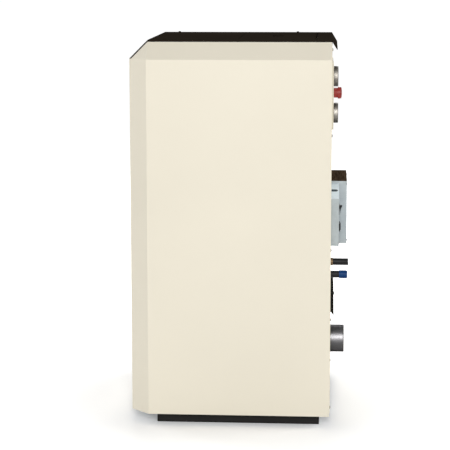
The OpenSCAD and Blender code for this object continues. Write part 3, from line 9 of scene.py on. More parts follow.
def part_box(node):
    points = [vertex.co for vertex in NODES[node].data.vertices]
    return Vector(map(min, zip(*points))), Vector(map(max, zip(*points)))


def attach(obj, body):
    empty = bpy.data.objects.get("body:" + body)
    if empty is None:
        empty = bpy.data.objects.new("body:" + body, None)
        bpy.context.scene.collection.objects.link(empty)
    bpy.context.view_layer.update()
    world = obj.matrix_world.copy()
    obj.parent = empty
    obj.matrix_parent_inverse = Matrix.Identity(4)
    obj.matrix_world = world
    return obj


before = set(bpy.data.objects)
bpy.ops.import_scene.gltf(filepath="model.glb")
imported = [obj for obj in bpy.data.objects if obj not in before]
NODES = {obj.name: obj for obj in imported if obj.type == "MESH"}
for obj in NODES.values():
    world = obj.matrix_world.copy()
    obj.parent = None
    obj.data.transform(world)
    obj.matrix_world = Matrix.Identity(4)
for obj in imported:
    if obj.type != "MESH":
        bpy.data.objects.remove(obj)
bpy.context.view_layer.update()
MM = 0.001
WHITE = (1, 1, 1, 1)
UPWARD = (0, 0, 1)
FORWARD = (0, -1, 0)
BACKWARD = (0, 1, 0)


# Node helpers
def linear(r, g, b):
    """A colour given as it looks on screen, 0 to 255, in the renderer's own units, by the sRGB curve."""
    def one(v):
        v /= 255
        return v / 12.92 if v <= 0.04045 else ((v + 0.055) / 1.055) ** 2.4
    return one(r), one(g), one(b), 1.0


def shade(colour, factor):
    """The same colour, lighter or darker by a factor."""
    return tuple(min(1.0, c * factor) for c in colour[:3]) + (1.0,)


class Surface:
    """A material under construction, with the few node patterns that the finishes share."""

    def __init__(self, name, rough, metallic=0.0, **sockets):
        self.material = bpy.data.materials.new(name)
        self.material.use_nodes = True
        self.tree = self.material.node_tree
        self.shader = self.tree.nodes["Principled BSDF"]
        self.shader.inputs["Roughness"].default_value = rough
        self.shader.inputs["Metallic"].default_value = metallic
        for socket, value in sockets.items():
            self.shader.inputs[socket.replace("_", " ")].default_value = value
        self.coords = self.tree.nodes.new("ShaderNodeTexCoord")
        self.rough = rough
        self.normal = None

    def link(self, a, b):
        self.tree.links.new(a, b)

    def mapped(self, stretch=(1, 1, 1), turn=(0, 0, 0)):
        """The object's own coordinates, stretched and turned."""
        node = self.tree.nodes.new("ShaderNodeMapping")
        node.inputs["Scale"].default_value = stretch
        node.inputs["Rotation"].default_value = turn
        self.link(self.coords.outputs["Object"], node.inputs["Vector"])
        return node.outputs["Vector"]

    def noise(self, scale, stretch=(1, 1, 1), detail=4.0, rough=0.55, distortion=0.0):
        """Cloudy pattern, 0 to 1; scale is in clouds per metre."""
        node = self.tree.nodes.new("ShaderNodeTexNoise")
        node.inputs["Scale"].default_value = scale
        node.inputs["Detail"].default_value = detail
        node.inputs["Roughness"].default_value = rough
        node.inputs["Distortion"].default_value = distortion
        self.link(self.mapped(stretch), node.inputs["Vector"])
        return node.outputs["Fac"]

    def cells(self, scale, stretch=(1, 1, 1)):
        """Distance from the middle of each cell."""
        return self.voronoi(scale, stretch).outputs["Distance"]

    def patches(self, scale, stretch=(1, 1, 1)):
        """One even grey for each cell."""
        grey = self.tree.nodes.new("ShaderNodeRGBToBW")
        self.link(self.voronoi(scale, stretch).outputs["Color"], grey.inputs["Color"])
        return grey.outputs["Val"]

    def voronoi(self, scale, stretch):
        node = self.tree.nodes.new("ShaderNodeTexVoronoi")
        node.inputs["Scale"].default_value = scale
        self.link(self.mapped(stretch), node.inputs["Vector"])
        return node

    def span(self, value, low, high, to_low, to_high):
        """Maps low..high to to_low..to_high and holds it there outside."""
        node = self.tree.nodes.new("ShaderNodeMapRange")
        node.inputs["From Min"].default_value = low
        node.inputs["From Max"].default_value = high
        node.inputs["To Min"].default_value = to_low
        node.inputs["To Max"].default_value = to_high
        self.link(value, node.inputs["Value"])
        return node.outputs["Result"]

    def layer(self, under, over, mask, start, full, most=1.0):
        """Colour that passes from under to over as the mask rises from start to full; most caps it."""
        node = self.tree.nodes.new("ShaderNodeMix")
        node.data_type = "RGBA"
        self.link(self.span(mask, start, full, 0, most), node.inputs["Factor"])
        colour_a, colour_b, colour_out = node.inputs[6], node.inputs[7], node.outputs[2]
        for value, socket in ((under, colour_a), (over, colour_b)):
            if isinstance(value, tuple):
                socket.default_value = value
            else:
                self.link(value, socket)
        return colour_out

    def colour(self, socket):
        self.link(socket, self.shader.inputs["Base Color"])

    def roughness(self, pattern, change):
        """Lets the roughness drift by change to both sides of its plain value."""
        low, high = 0.3, 0.7
        self.link(self.span(pattern, low, high, self.rough - change, self.rough + change),
                  self.shader.inputs["Roughness"])

    def bump(self, height, depth, strength):
        """Adds a layer of relief; layers chain in the order they are added."""
        node = self.tree.nodes.new("ShaderNodeBump")
        node.inputs["Distance"].default_value = depth
        node.inputs["Strength"].default_value = strength
        self.link(height, node.inputs["Height"])
        if self.normal is not None:
            self.link(self.normal, node.inputs["Normal"])
        self.normal = node.outputs["Normal"]
        self.link(self.normal, self.shader.inputs["Normal"])


# Finishes
def powder_coat(name, rgb, rough=0.42, mottle=0.015, peel=1.0):
    """Baked powder paint: even colour, a faint orange peel and a slow drift of tone and gloss."""
    s = Surface(name, rough, Specular_IOR_Level=0.25)
    drift = s.noise(2.2, detail=2.0)
    fine = s.noise(900, detail=2.0)
    base = linear(*rgb)
    tone = s.layer(shade(base, 1 - mottle), shade(base, 1 + mottle), drift, 0.35, 0.65)
    s.colour(s.layer(tone, shade(base, 0.8), fine, 0.2, 0.8, most=0.05))
    s.roughness(s.noise(24, detail=3.0), change=0.05)
    s.bump(s.noise(420, detail=2.0, rough=0.4), depth=0.04 * MM * peel, strength=0.5)
    s.bump(fine, depth=0.01 * MM * peel, strength=0.5)
    return s.material


def textured_black(name, rgb, rough, gloss=0.1):
    """Fine-textured dark paint with lighter flecks on the raised edges of its grain: painted glints."""
    s = Surface(name, rough, Specular_IOR_Level=gloss)
    grain = s.cells(1400)
    drift = s.noise(7, detail=5.0)
    base = linear(*rgb)
    tone = s.layer(shade(base, 0.88), shade(base, 1.15), drift, 0.35, 0.7)
    # Lighter towards the raised cell edges of the grain: painted glints
    s.colour(s.layer(tone, shade(base, 1.8), grain, 0.1, 0.6, most=0.2))
    s.roughness(s.noise(60), change=0.08)
    s.bump(grain, depth=0.06 * MM, strength=0.6)
    return s.material


def zinc(name, rgb, rough=0.42, metallic=0.35, gloss=0.5):
    """Galvanised sheet: faint crystal patches of slightly different tone, specks and rolling streaks."""
    s = Surface(name, rough, metallic=metallic, Specular_IOR_Level=gloss)
    base = linear(*rgb)
    crystal = s.patches(55)
    streak = s.noise(30, stretch=(1, 1, 14), detail=5.0)
    speck = s.noise(420, detail=3.0)
    tone = s.layer(shade(base, 0.95), shade(base, 1.04), crystal, 0.2, 0.8)
    tone = s.layer(tone, shade(base, 1.12), streak, 0.45, 0.75, most=0.5)
    s.colour(s.layer(tone, shade(base, 0.78), speck, 0.55, 0.75, most=0.3))
    s.roughness(streak, change=0.07)
    s.bump(crystal, depth=0.02 * MM, strength=0.3)
    s.bump(speck, depth=0.02 * MM, strength=0.4)
    return s.material


def brushed(name, rgb, stretch, wear, rough=0.3, scale=60):
    """Metal with fine parallel lines and dull patches."""
    s = Surface(name, rough, metallic=1.0)
    base = linear(*rgb)
    lines = s.noise(scale, stretch=stretch, detail=6.0, rough=0.7)
    stain = s.noise(9, detail=6.0, distortion=0.4)
    tone = s.layer(shade(base, 0.85), shade(base, 1.1), lines, 0.3, 0.7)
    s.colour(s.layer(tone, shade(base, 0.55), stain, 0.5, 0.75, most=wear))
    s.roughness(stain, change=0.1)
    s.bump(lines, depth=0.03 * MM, strength=0.5)
    return s.material


def drawn_tube(name, rgb, rough, edge=1.0):
    """Metal drawn along Y: fine lines run along the tube and spread its highlight around it.

    The tangent lies around the tube, edge darkens the grazing rim, and the tube's axis is tipped a
    little so that the tangent is also sure on faces that look along Y.
    """
    tipped_axis = (0.002, 1.0, 0.001)
    s = Surface(name, rough, metallic=1.0, Anisotropic=1.0, Specular_Tint=(edge, edge, edge, 1.0))
    base = linear(*rgb)
    lines = s.noise(90, stretch=(1, 0.04, 1), detail=5.0, rough=0.7)
    stain = s.noise(14, detail=5.0, distortion=0.4)
    tone = s.layer(shade(base, 0.86), shade(base, 1.12), lines, 0.3, 0.7)
    s.colour(s.layer(tone, shade(base, 0.62), stain, 0.5, 0.8, most=0.25))
    around = s.tree.nodes.new("ShaderNodeVectorMath")
    around.operation = "CROSS_PRODUCT"
    around.inputs[1].default_value = tipped_axis
    s.link(s.coords.outputs["Normal"], around.inputs[0])
    s.link(around.outputs["Vector"], s.shader.inputs["Tangent"])
    s.roughness(stain, change=0.04)
    s.bump(lines, depth=0.012 * MM, strength=0.4)
    return s.material


def boiler_plate(name, rgb):
    """Mill-scale steel under heatproof paint: blotches, faint rust and a coarse skin."""
    s = Surface(name, 0.62, metallic=0.35)
    base = linear(*rgb)
    rust_red = linear(96, 58, 38)
    blotch = s.noise(11, detail=7.0, rough=0.65, distortion=0.6)
    rust = s.noise(38, detail=8.0, rough=0.7)
    tone = s.layer(shade(base, 0.7), shade(base, 1.3), blotch, 0.35, 0.65)
    s.colour(s.layer(tone, rust_red, rust, 0.62, 0.75, most=0.5))
    s.roughness(rust, change=0.12)
    s.bump(blotch, depth=0.3 * MM, strength=0.3)
    s.bump(s.noise(300, detail=4.0), depth=0.08 * MM, strength=0.6)
    return s.material


def cast_iron(name, rgb):
    """Sand-cast iron: pitted grey with soot."""
    s = Surface(name, 0.7, metallic=0.5)
    base = linear(*rgb)
    pits = s.cells(520)
    soot = s.noise(16, detail=6.0)
    tone = s.layer(shade(base, 0.55), shade(base, 1.25), soot, 0.4, 0.65)
    # The middle of a pit, at distance 0, is half dark
    s.colour(s.layer(shade(base, 0.4), tone, pits, -0.35, 0.35))
    s.roughness(soot, change=0.1)
    s.bump(pits, depth=0.25 * MM, strength=0.7)
    return s.material


def refractory(name, rgb):
    """Vermiculite board: flaky cream-grey grain with smoke stains."""
    s = Surface(name, 0.9, Specular_IOR_Level=0.2)
    base = linear(*rgb)
    smoke_grey = linear(64, 58, 52)
    flakes = s.patches(230, stretch=(1, 1, 1.8))
    smoke = s.noise(6, detail=6.0)
    tone = s.layer(shade(base, 0.78), shade(base, 1.12), flakes, 0.2, 0.8)
    s.colour(s.layer(tone, smoke_grey, smoke, 0.42, 0.7, most=0.7))
    s.bump(flakes, depth=0.4 * MM, strength=0.6)
    s.bump(s.noise(700), depth=0.1 * MM, strength=0.6)
    return s.material


def woven_rope(name, rgb):
    """Braided glass-fibre rope: short diagonal strands, with painted shade in the furrows between them and
    painted highlight on their crests.
    """
    strand_turn = (0.0, 0.78, 0.0)
    s = Surface(name, 0.85, Sheen_Weight=0.3)
    wave = s.tree.nodes.new("ShaderNodeTexWave")
    wave.inputs["Scale"].default_value = 180
    wave.inputs["Distortion"].default_value = 3
    s.link(s.mapped(turn=strand_turn), wave.inputs["Vector"])
    strands = wave.outputs["Fac"]
    base = linear(*rgb)
    # Darker in the furrows and lighter on the crests, following the relief: painted shade and highlight
    s.colour(s.layer(shade(base, 0.5), shade(base, 1.2), strands, 0, 1))
    s.roughness(s.noise(200), change=0.06)
    s.bump(strands, depth=0.6 * MM, strength=0.8)
    return s.material


def moulded(name, rgb, rough=0.38, grain=1.0, metallic=0.0, gloss=0.3):
    """Moulded plastic with a spark-eroded grain and slight handling marks."""
    s = Surface(name, rough, metallic=metallic, Specular_IOR_Level=gloss)
    base = linear(*rgb)
    leather = s.noise(1500, detail=3.0, rough=0.6)
    rub = s.noise(45, detail=5.0)
    s.colour(s.layer(base, shade(base, 1.5), rub, 0.45, 0.75, most=0.35))
    s.roughness(rub, change=0.09)
    s.bump(leather, depth=0.05 * MM * grain, strength=0.6)
    return s.material


def glassy(name, rgb, alpha, rough=0.03):
    """Clear or smoked glass kept simple for export: coloured, coated and see-through."""
    s = Surface(name, rough, IOR=1.5, Alpha=alpha, Coat_Weight=1.0, Coat_Roughness=0.02)
    base = linear(*rgb)
    haze = s.noise(12, detail=5.0)
    s.colour(s.layer(base, shade(base, 1.6), haze, 0.4, 0.8, most=0.4))
    s.roughness(haze, change=0.02)
    return s.material


def cap_red(name):
    """Red safety cap: satin moulding with a faded, paler bloom."""
    s = Surface(name, 0.4, Specular_IOR_Level=0.35)
    fade = s.noise(30, detail=4.0)
    s.colour(s.layer(linear(136, 34, 27), linear(156, 46, 37), fade, 0.35, 0.7))
    s.roughness(fade, change=0.08)
    s.bump(s.noise(1200, detail=2.0), depth=0.04 * MM, strength=0.5)
    return s.material


def streaked_lid(name):
    """Bronze-brown painted lid with rolling streaks across it and a little dust."""
    s = Surface(name, 0.7, Specular_IOR_Level=0.0)
    dark_bronze, pale_bronze, dust_grey = linear(38, 28, 20), linear(80, 67, 54), linear(110, 100, 88)
    streak = s.noise(26, stretch=(0.6, 9, 1), detail=6.0, rough=0.7)
    dust = s.noise(240, detail=4.0)
    tone = s.layer(dark_bronze, pale_bronze, streak, 0.35, 0.65)
    s.colour(s.layer(tone, dust_grey, dust, 0.5, 0.8, most=0.2))
    s.roughness(streak, change=0.12)
    s.bump(streak, depth=0.08 * MM, strength=0.5)
    return s.material


def lit(name, rgb, strength):
    """Display segments that glow a little on their own."""
    base = linear(*rgb)
    s = Surface(name, 0.4, Emission_Strength=strength, Emission_Color=base)
    s.colour(s.layer(shade(base, 0.8), base, s.noise(300), 0.3, 0.7))
    return s.material


# Colours are screen values, 0 to 255
FINISH = {
    "beige": powder_coat("beige_paint", (236, 229, 211)),
    # A darker copy of the casing beige for the gauge plate: painted shade
    "plate": powder_coat("plate_beige_painted_shade", (214, 208, 190), rough=0.5, mottle=0.03),
    "black": textured_black("black_paint", (40, 35, 29), rough=0.6, gloss=0.0),
    "door": textured_black("door_paint", (40, 38, 36), rough=0.55),
    "plinth": textured_black("plinth_steel", (43, 42, 41), rough=0.6, gloss=0.03),
    "zinc": zinc("galvanised", (162, 170, 173)),
    # A lighter copy of the galvanised finish for the sloped top of the switch box: painted highlight
    "zinc_painted_highlight": zinc("galvanised_painted_highlight", (210, 223, 231), rough=0.5, metallic=0.0, gloss=0.1),
    "flue": drawn_tube("flue_steel", (84, 83, 84), rough=0.22, edge=0.2),
    "boiler": boiler_plate("boiler_steel", (92, 94, 98)),
    "bare": brushed("bare_steel", (168, 168, 166), stretch=(1, 1, 30), wear=0.5, rough=0.4, scale=45),
    "iron": cast_iron("cast_iron", (88, 86, 84)),
    "refractory": refractory("refractory", (196, 180, 150)),
    "rope": woven_rope("rope", (66, 64, 60)),
    "glass": glassy("glass", (34, 26, 20), alpha=0.55),
    "lens": glassy("gauge_glass", (238, 242, 242), alpha=0.08),
    "smoked": glassy("display_smoked", (12, 14, 16), alpha=0.6, rough=0.06),
    "chrome": drawn_tube("chrome", (100, 97, 92), rough=0.3),
    "aluminium": brushed("aluminium", (188, 190, 192), stretch=(30, 30, 1), wear=0.2, rough=0.32),
    "copper": brushed("copper", (120, 100, 76), stretch=(1, 1, 1), wear=0.5, scale=30),
    "brass": brushed("brass", (190, 158, 92), stretch=(1, 1, 1), wear=0.4, scale=30),
    "plastic": moulded("black_plastic", (24, 24, 25)),
    "sleeve": moulded("black_sleeve", (26, 26, 27), rough=0.4, grain=2.5, gloss=0.16),
    "cowl": textured_black("cowl_paint", (22, 19, 15), rough=0.6),
    "red": cap_red("red_plastic"),
    "blue": moulded("blue_plastic", (4, 54, 108), rough=0.35, grain=2.0, gloss=0.16),
    "tank": powder_coat("red_paint", (168, 44, 36), rough=0.35, mottle=0.05, peel=2.0),
    "motor": moulded("motor_paint", (58, 60, 64), rough=0.5, grain=3.0, metallic=0.3),
    "board": moulded("board_green", (26, 84, 48), rough=0.35, grain=0.5),
    "screw": brushed("screw_zinc", (104, 102, 96), stretch=(1, 1, 1), wear=0.3, rough=0.36, scale=80),
    "lid": streaked_lid("vented_lid"),
    "dial": moulded("dial_white", (236, 236, 230), rough=0.5, grain=0.2),
    "needle": moulded("needle_black", (18, 18, 18), rough=0.35),
    # A dark grey sheet that stands for the shade in a narrow gap: painted shade
    "gap": moulded("shadow_gap", (48, 60, 68), rough=0.6, gloss=0.1),
    "button": moulded("button_grey", (96, 98, 100), rough=0.4),
    "lit": lit("display_amber", (255, 158, 46), strength=0.7),
}
NODE_FINISH = {
    "beige": "right_side_panel left_side_panel front_panels ash_drawer_front rear_panel",
    "plate": "gauge_plate",
    "black": "top_cover hopper_lid",
    "door": "door_frame glass_retainer boiler_front_plate hinge_pins",
    "plinth": "plinth_rails",
    "zinc": "floor_plate hopper auger_tube air_pipe ash_pan control_box switch_box",
    "flue": "flue_outlet",
    "boiler": "water_jacket firebox inner_supports smoke_box fan_housing smoke_tubes"
              " pellet_chute smoke_hood",
    "iron": "hearth_plate burner_pot",
    "bare": "scraper_comb igniter auger_screw latch_handle",
    "aluminium": "fan_impeller",
    "refractory": "linings",
    "rope": "door_rope",
    "glass": "door_glass",
    "lens": "gauge_glasses",
    "chrome": "gauges",
    "copper": "water_pipes",
    "brass": "safety_valve_body",
    "plastic": "console_bezel mains_fittings rocker",
    "sleeve": "pipe_sleeves",
    "cowl": "intake_cowl",
    "red": "valve_cap",
    "blue": "return_plug",
    "tank": "expansion_vessel circulation_pump",
    "motor": "drive_motors",
    "board": "circuit_boards",
    "screw": "case_screws",
    "lid": "control_box_lid",
    "needle": "temperature_needle pressure_needle",
    "button": "button_power button_mode",
}

for finish, names in NODE_FINISH.items():
    for name in names.split():
        slots = NODES[name].data.materials
        slots.clear()
        slots.append(FINISH[finish])

# The screws on the top of the casing lie above this height, and all other screws below it
TOP_SCREWS_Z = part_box("top_cover")[1].z - 2 * MM


def second_finish(node, finish, chosen):
    """Gives the faces for which chosen(face) holds another finish."""
    mesh = NODES[node].data
    mesh.materials.append(FINISH[finish])
    for face in mesh.polygons:
        if chosen(face):
            face.material_index = 1


def on_slope(face):
    """Faces of the switch box's sloped top, which falls away to one side; they take the lighter copy of the
    zinc, a painted highlight.
    """
    least_up, least_sideways = 0.9, 0.2
    return face.normal.z > least_up and face.normal.x > least_sideways


def on_top(face):
    """Faces of the screws that sit on the top of the casing."""
    return face.center.z > TOP_SCREWS_Z


# The switch box's sloped top takes the lighter zinc: painted highlight
second_finish("switch_box", "zinc_painted_highlight", on_slope)
second_finish("case_screws", "black", on_top)


def islands(node):
    """Lowest and highest corner of each separate solid in a CAD node, in metres, from left to right."""
    mesh = NODES[node].data
    parent = {}

    def find(a):
        while parent[a] != a:
            parent[a] = parent[parent[a]]
            a = parent[a]
        return a

    keys = [tuple(round(c, 6) for c in v.co) for v in mesh.vertices]
    for key in keys:
        parent.setdefault(key, key)
    for face in mesh.polygons:
        first = find(keys[face.vertices[0]])
        for v in face.vertices[1:]:
            parent[find(keys[v])] = first
            first = find(first)
    groups = {}
    for key in parent:
        groups.setdefault(find(key), []).append(key)
    boxes = [(Vector(map(min, *points)), Vector(map(max, *points))) for points in groups.values()]
    return sorted(boxes, key=lambda box: tuple(round(c, 4) for c in box[0]))


# Mesh pieces
SHARP_ANGLE = math.radians(35)


def add_piece(name, verts, faces, finish, slot, body="boiler", bevel=0.0):
    """A new piece that rides on a body; bevel rounds its sharp edges by that many metres."""
    mesh = bpy.data.meshes.new(name)
    mesh.from_pydata([Vector(v) for v in verts], [], faces)
    bm = bmesh.new()
    bm.from_mesh(mesh)
    bmesh.ops.recalc_face_normals(bm, faces=bm.faces)
    bm.to_mesh(mesh)
    bm.free()
    obj = bpy.data.objects.new(name, mesh)
    bpy.context.scene.collection.objects.link(obj)
    mesh.materials.append(FINISH[finish])
    mesh.shade_smooth()
    mesh.set_sharp_from_angle(angle=SHARP_ANGLE)
    if bevel:
        edge = obj.modifiers.new("edge", "BEVEL")
        edge.width = bevel
        edge.segments = 2
        edge.limit_method = "ANGLE"
        edge.angle_limit = SHARP_ANGLE
    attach(obj, body)
    return obj


def frame_at(origin, z_axis, up=UPWARD):
    """Matrix whose Z is z_axis and whose Y is as near to up as it can be."""
    z = Vector(z_axis).normalized()
    x = Vector(up).cross(z).normalized()
    y = z.cross(x)
    m = Matrix((x, y, z)).transposed().to_4x4()
    m.translation = Vector(origin)
    return m


def lathe(profile, steps=64, start=0.0, sweep=2 * math.pi):
    """Vertices and faces of a profile of (radius, height) turned about local Z."""
    closed = sweep == 2 * math.pi
    rings = steps if closed else steps + 1
    verts, faces = [], []
    for k in range(rings):
        a = start + sweep * k / steps
        verts += [(r * math.cos(a), r * math.sin(a), h) for r, h in profile]
    n = len(profile)
    for k in range(steps):
        a, b = k * n, ((k + 1) % rings) * n
        faces += [(a + i, b + i, b + i + 1, a + i + 1) for i in range(n - 1)]
    return verts, faces


def prism(outline, height, bottom=0.0):
    """A flat outline in local XY raised along local Z."""
    n = len(outline)
    verts = [(x, y, bottom) for x, y in outline] + [(x, y, bottom + height) for x, y in outline]
    faces = [tuple(range(n - 1, -1, -1)), tuple(range(n, 2 * n))]
    faces += [(i, (i + 1) % n, n + (i + 1) % n, n + i) for i in range(n)]
    return verts, faces


def rectangle(x0, y0, x1, y1):
    return [(x0, y0), (x1, y0), (x1, y1), (x0, y1)]


def rounded_loop(half_x, half_y, radius, height):
    """A rectangle with round corners, as points at one height."""
    corner_steps = 8
    points = []
    for sx, sy, first in ((1, 1, 0), (-1, 1, 90), (-1, -1, 180), (1, -1, 270)):
        for k in range(corner_steps + 1):
            a = math.radians(first + 90 * k / corner_steps)
            x = sx * (half_x - radius) + radius * math.cos(a)
            y = sy * (half_y - radius) + radius * math.sin(a)
            points.append((x, y, height))
    return points


def grid_faces(rows, columns):
    """Faces between rows of points, each row with so many columns."""
    return [(j * columns + i, j * columns + i + 1, (j + 1) * columns + i + 1, (j + 1) * columns + i)
            for j in range(rows - 1) for i in range(columns - 1)]


def lofted(loops):
    """A skin through closed loops that have as many points each."""
    n = len(loops[0])
    faces = [(k * n + i, k * n + (i + 1) % n, (k + 1) * n + (i + 1) % n, (k + 1) * n + i)
             for k in range(len(loops) - 1) for i in range(n)]
    return [p for loop in loops for p in loop], faces


def joined(parts):
    """Several (vertices, faces) pairs as one."""
    verts, faces = [], []
    for part_verts, part_faces in parts:
        faces += [tuple(i + len(verts) for i in face) for face in part_faces]
        verts += part_verts
    return verts, faces


def placed(part, matrix):
    """The same (vertices, faces) pair, moved by a matrix."""
    return [matrix @ Vector(v) for v in part[0]], part[1]


def millimetres(points):
    """Points given in millimetres, in metres."""
    return [tuple(c * MM for c in point) for point in points]


# Fixings
def cross_recess_painted_shade():
    """Dark crosses in the heads of the casing screws, on the top and down the rear edges: thin dark sheets
    that stand for the shade in their cross recesses, painted shade.
    """
    arm, half = 2.3 * MM, 0.42 * MM
    sunk, thickness = 0.48 * MM, 0.12 * MM
    turned_on_top, turned_at_rear = (1, 0.4, 0), (0.3, 0, 1)
    outline = [(half, half), (half, arm), (-half, arm), (-half, half), (-arm, half), (-arm, -half),
               (-half, -half), (-half, -arm), (half, -arm), (half, -half), (arm, -half), (arm, half)]
    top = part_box("top_cover")[1].z
    parts = []
    for low, high in islands("case_screws"):
        middle = (low + high) / 2
        if high.z > top:
            at = frame_at((middle.x, middle.y, high.z), UPWARD, up=turned_on_top)
        else:
            at = frame_at((middle.x, high.y, middle.z), BACKWARD, up=turned_at_rear)
        parts.append(placed(prism(outline, thickness, -sunk), at))
    # The dark crosses are painted shade
    add_piece("screw_cross_painted_shade", *joined(parts), "needle", slot="black_plastic", bevel=0.1 * MM)


# Gauges
SCALE_START = math.radians(225)
SCALE_SWEEP = math.radians(270)
PRINT_THICKNESS = 0.1 * MM


def scale_angle(share):
    """Angle of a place on a dial's scale, which runs clockwise from the lower left."""
    return SCALE_START - SCALE_SWEEP * share


def dial_number(name, text, at):
    """A number printed on a dial."""
    curve = bpy.data.curves.new(name, "FONT")
    curve.body = text
    curve.size = 4.6 * MM
    curve.align_x = "CENTER"
    curve.align_y = "CENTER"
    curve.extrude = 0.05 * MM
    curve.materials.append(FINISH["needle"])
    obj = bpy.data.objects.new(name, curve)
    obj.matrix_world = at
    bpy.context.scene.collection.objects.link(obj)
    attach(obj, "boiler")


def dial_ticks(radius, numbers, ticks_per_number):
    """Long ticks at the numbers and short ones between them."""
    outer = 0.93 * radius
    long_tick = (0.8 * radius, 0.4 * MM)
    short_tick = (0.86 * radius, 0.22 * MM)
    count = ticks_per_number * numbers
    ticks = []
    for k in range(count + 1):
        inner, half = long_tick if k % ticks_per_number == 0 else short_tick
        turn = Matrix.Rotation(scale_angle(k / count), 4, "Z")
        ticks.append(placed(prism(rectangle(inner, -half, outer, half), PRINT_THICKNESS), turn))
    return joined(ticks)


def dial_sector(radius, first):
    """Coloured band near the rim, from a share of the scale to its end."""
    steps = 24
    inner, outer = 0.95 * radius, 0.99 * radius
    arc = [scale_angle(first + (1 - first) * k / steps) for k in range(steps + 1)]
    band = [(outer * math.cos(a), outer * math.sin(a)) for a in arc]
    band += [(inner * math.cos(a), inner * math.sin(a)) for a in reversed(arc)]
    return prism(band, PRINT_THICKNESS)


def gauge_face(key, centre, radius, last, step, ticks_per_number, warm_from):
    """White dial with ticks, plain numbers and a coloured sector, inside a dark rim."""
    number_radius, number_lift = 0.62 * radius, 0.06 * MM
    outward = frame_at(centre, BACKWARD)
    numbers = last // step
    ticks = dial_ticks(radius, numbers, ticks_per_number)
    add_piece(f"{key}_ticks", *placed(ticks, outward), "needle", slot="black_plastic")
    for k in range(numbers + 1):
        a = scale_angle(k / numbers)
        spot = Vector((number_radius * math.cos(a), number_radius * math.sin(a), number_lift))
        dial_number(f"{key}_number_{k}", str(k * step), frame_at(outward @ spot, BACKWARD))
    add_piece(f"{key}_sector", *placed(dial_sector(radius, warm_from), outward), "red", slot="red_plastic")
    disc = [(0, -0.02 * MM), (0.7 * radius, -0.01 * MM), (radius, -0.04 * MM)]
    add_piece(f"{key}_dial", *placed(lathe(disc), outward), "dial", slot="chrome")
    rim = [(radius, 0.0), (radius, 5.2 * MM), (1.02 * radius, 5.6 * MM), (1.06 * radius, 5.8 * MM)]
    add_piece(f"{key}_rim", *placed(lathe(rim), outward), "needle", slot="black_plastic")


def gauges():
    """Thermometer below and pressure gauge above: a dial each, and a drum-shaped bezel around its case."""
    low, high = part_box("gauges")
    outer = (high.x - low.x) / 2
    x = (low.x + high.x) / 2
    lower_z, upper_z = low.z + outer, high.z - outer
    inside_glass, behind_needle = 0.2 * MM, 0.24 * MM
    glass_low, glass_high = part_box("gauge_glasses")
    radius = (glass_high.x - glass_low.x) / 2 - inside_glass
    face_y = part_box("temperature_needle")[0].y - behind_needle
    gauge_face("temperature", (x, face_y, lower_z), radius,
               last=120, step=20, ticks_per_number=4, warm_from=0.75)
    gauge_face("pressure", (x, face_y, upper_z), radius,
               last=4, step=1, ticks_per_number=5, warm_from=0.62)
    depth = high.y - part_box("gauge_plate")[1].y
    front_curve = [(-2.4, 0), (-1.7, 0.5), (-0.9, 0.5), (-0.3, 0.1), (0.1, -0.5), (0.2, -1.0), (0.2, -1.5)]
    rear_curve = [(0.2, 1.5), (0.2, 1.0), (-0.3, 0.4)]
    profile = [(outer + r, h) for r, h in millimetres(front_curve)]
    profile += [(outer + r, h - depth) for r, h in millimetres(rear_curve)]
    for key, z in (("lower", lower_z), ("upper", upper_z)):
        bezel = placed(lathe(profile, steps=96), frame_at((x, high.y, z), BACKWARD))
        add_piece(f"{key}_gauge_bezel", *bezel, "chrome", slot="chrome")


# Console in the front slope
SLOPE_NORMAL = Vector((0, -1, 1)).normalized()
SLOPE_UP = (0, 1, 1)
DISPLAY_TEXT = "21"
SEGMENTS = {"1": "bc", "2": "abged"}
LEGEND_THICKNESS = 0.12 * MM


def slope_frame(node, x):
    """Matrix on the outer face of a console node, level with the buttons: Z off the slope, Y up it."""
    low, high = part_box("button_power")
    spot = Vector((x, (low.y + high.y) / 2, (low.z + high.z) / 2))
    surface = max(v.co.dot(SLOPE_NORMAL) for v in NODES[node].data.vertices)
    spot += SLOPE_NORMAL * (surface - spot.dot(SLOPE_NORMAL))
    return frame_at(spot, SLOPE_NORMAL, up=SLOPE_UP)


def seven_segment(digit, width, height, bar):
    """The lit bars of one display digit in local XY, from its lower left corner."""
    places = {
        "a": (0, height - bar, width, bar),
        "g": (0, (height - bar) / 2, width, bar),
        "d": (0, 0, width, bar),
        "b": (width - bar, height / 2, bar, height / 2),
        "e": (0, 0, bar, height / 2),
        "c": (width - bar, 0, bar, height / 2),
    }
    inset = 0.22 * bar
    bars = []
    for key in SEGMENTS[digit]:
        x, y, dx, dy = places[key]
        bars.append(rectangle(x + inset, y + inset, x + dx - inset, y + dy - inset))
    return bars


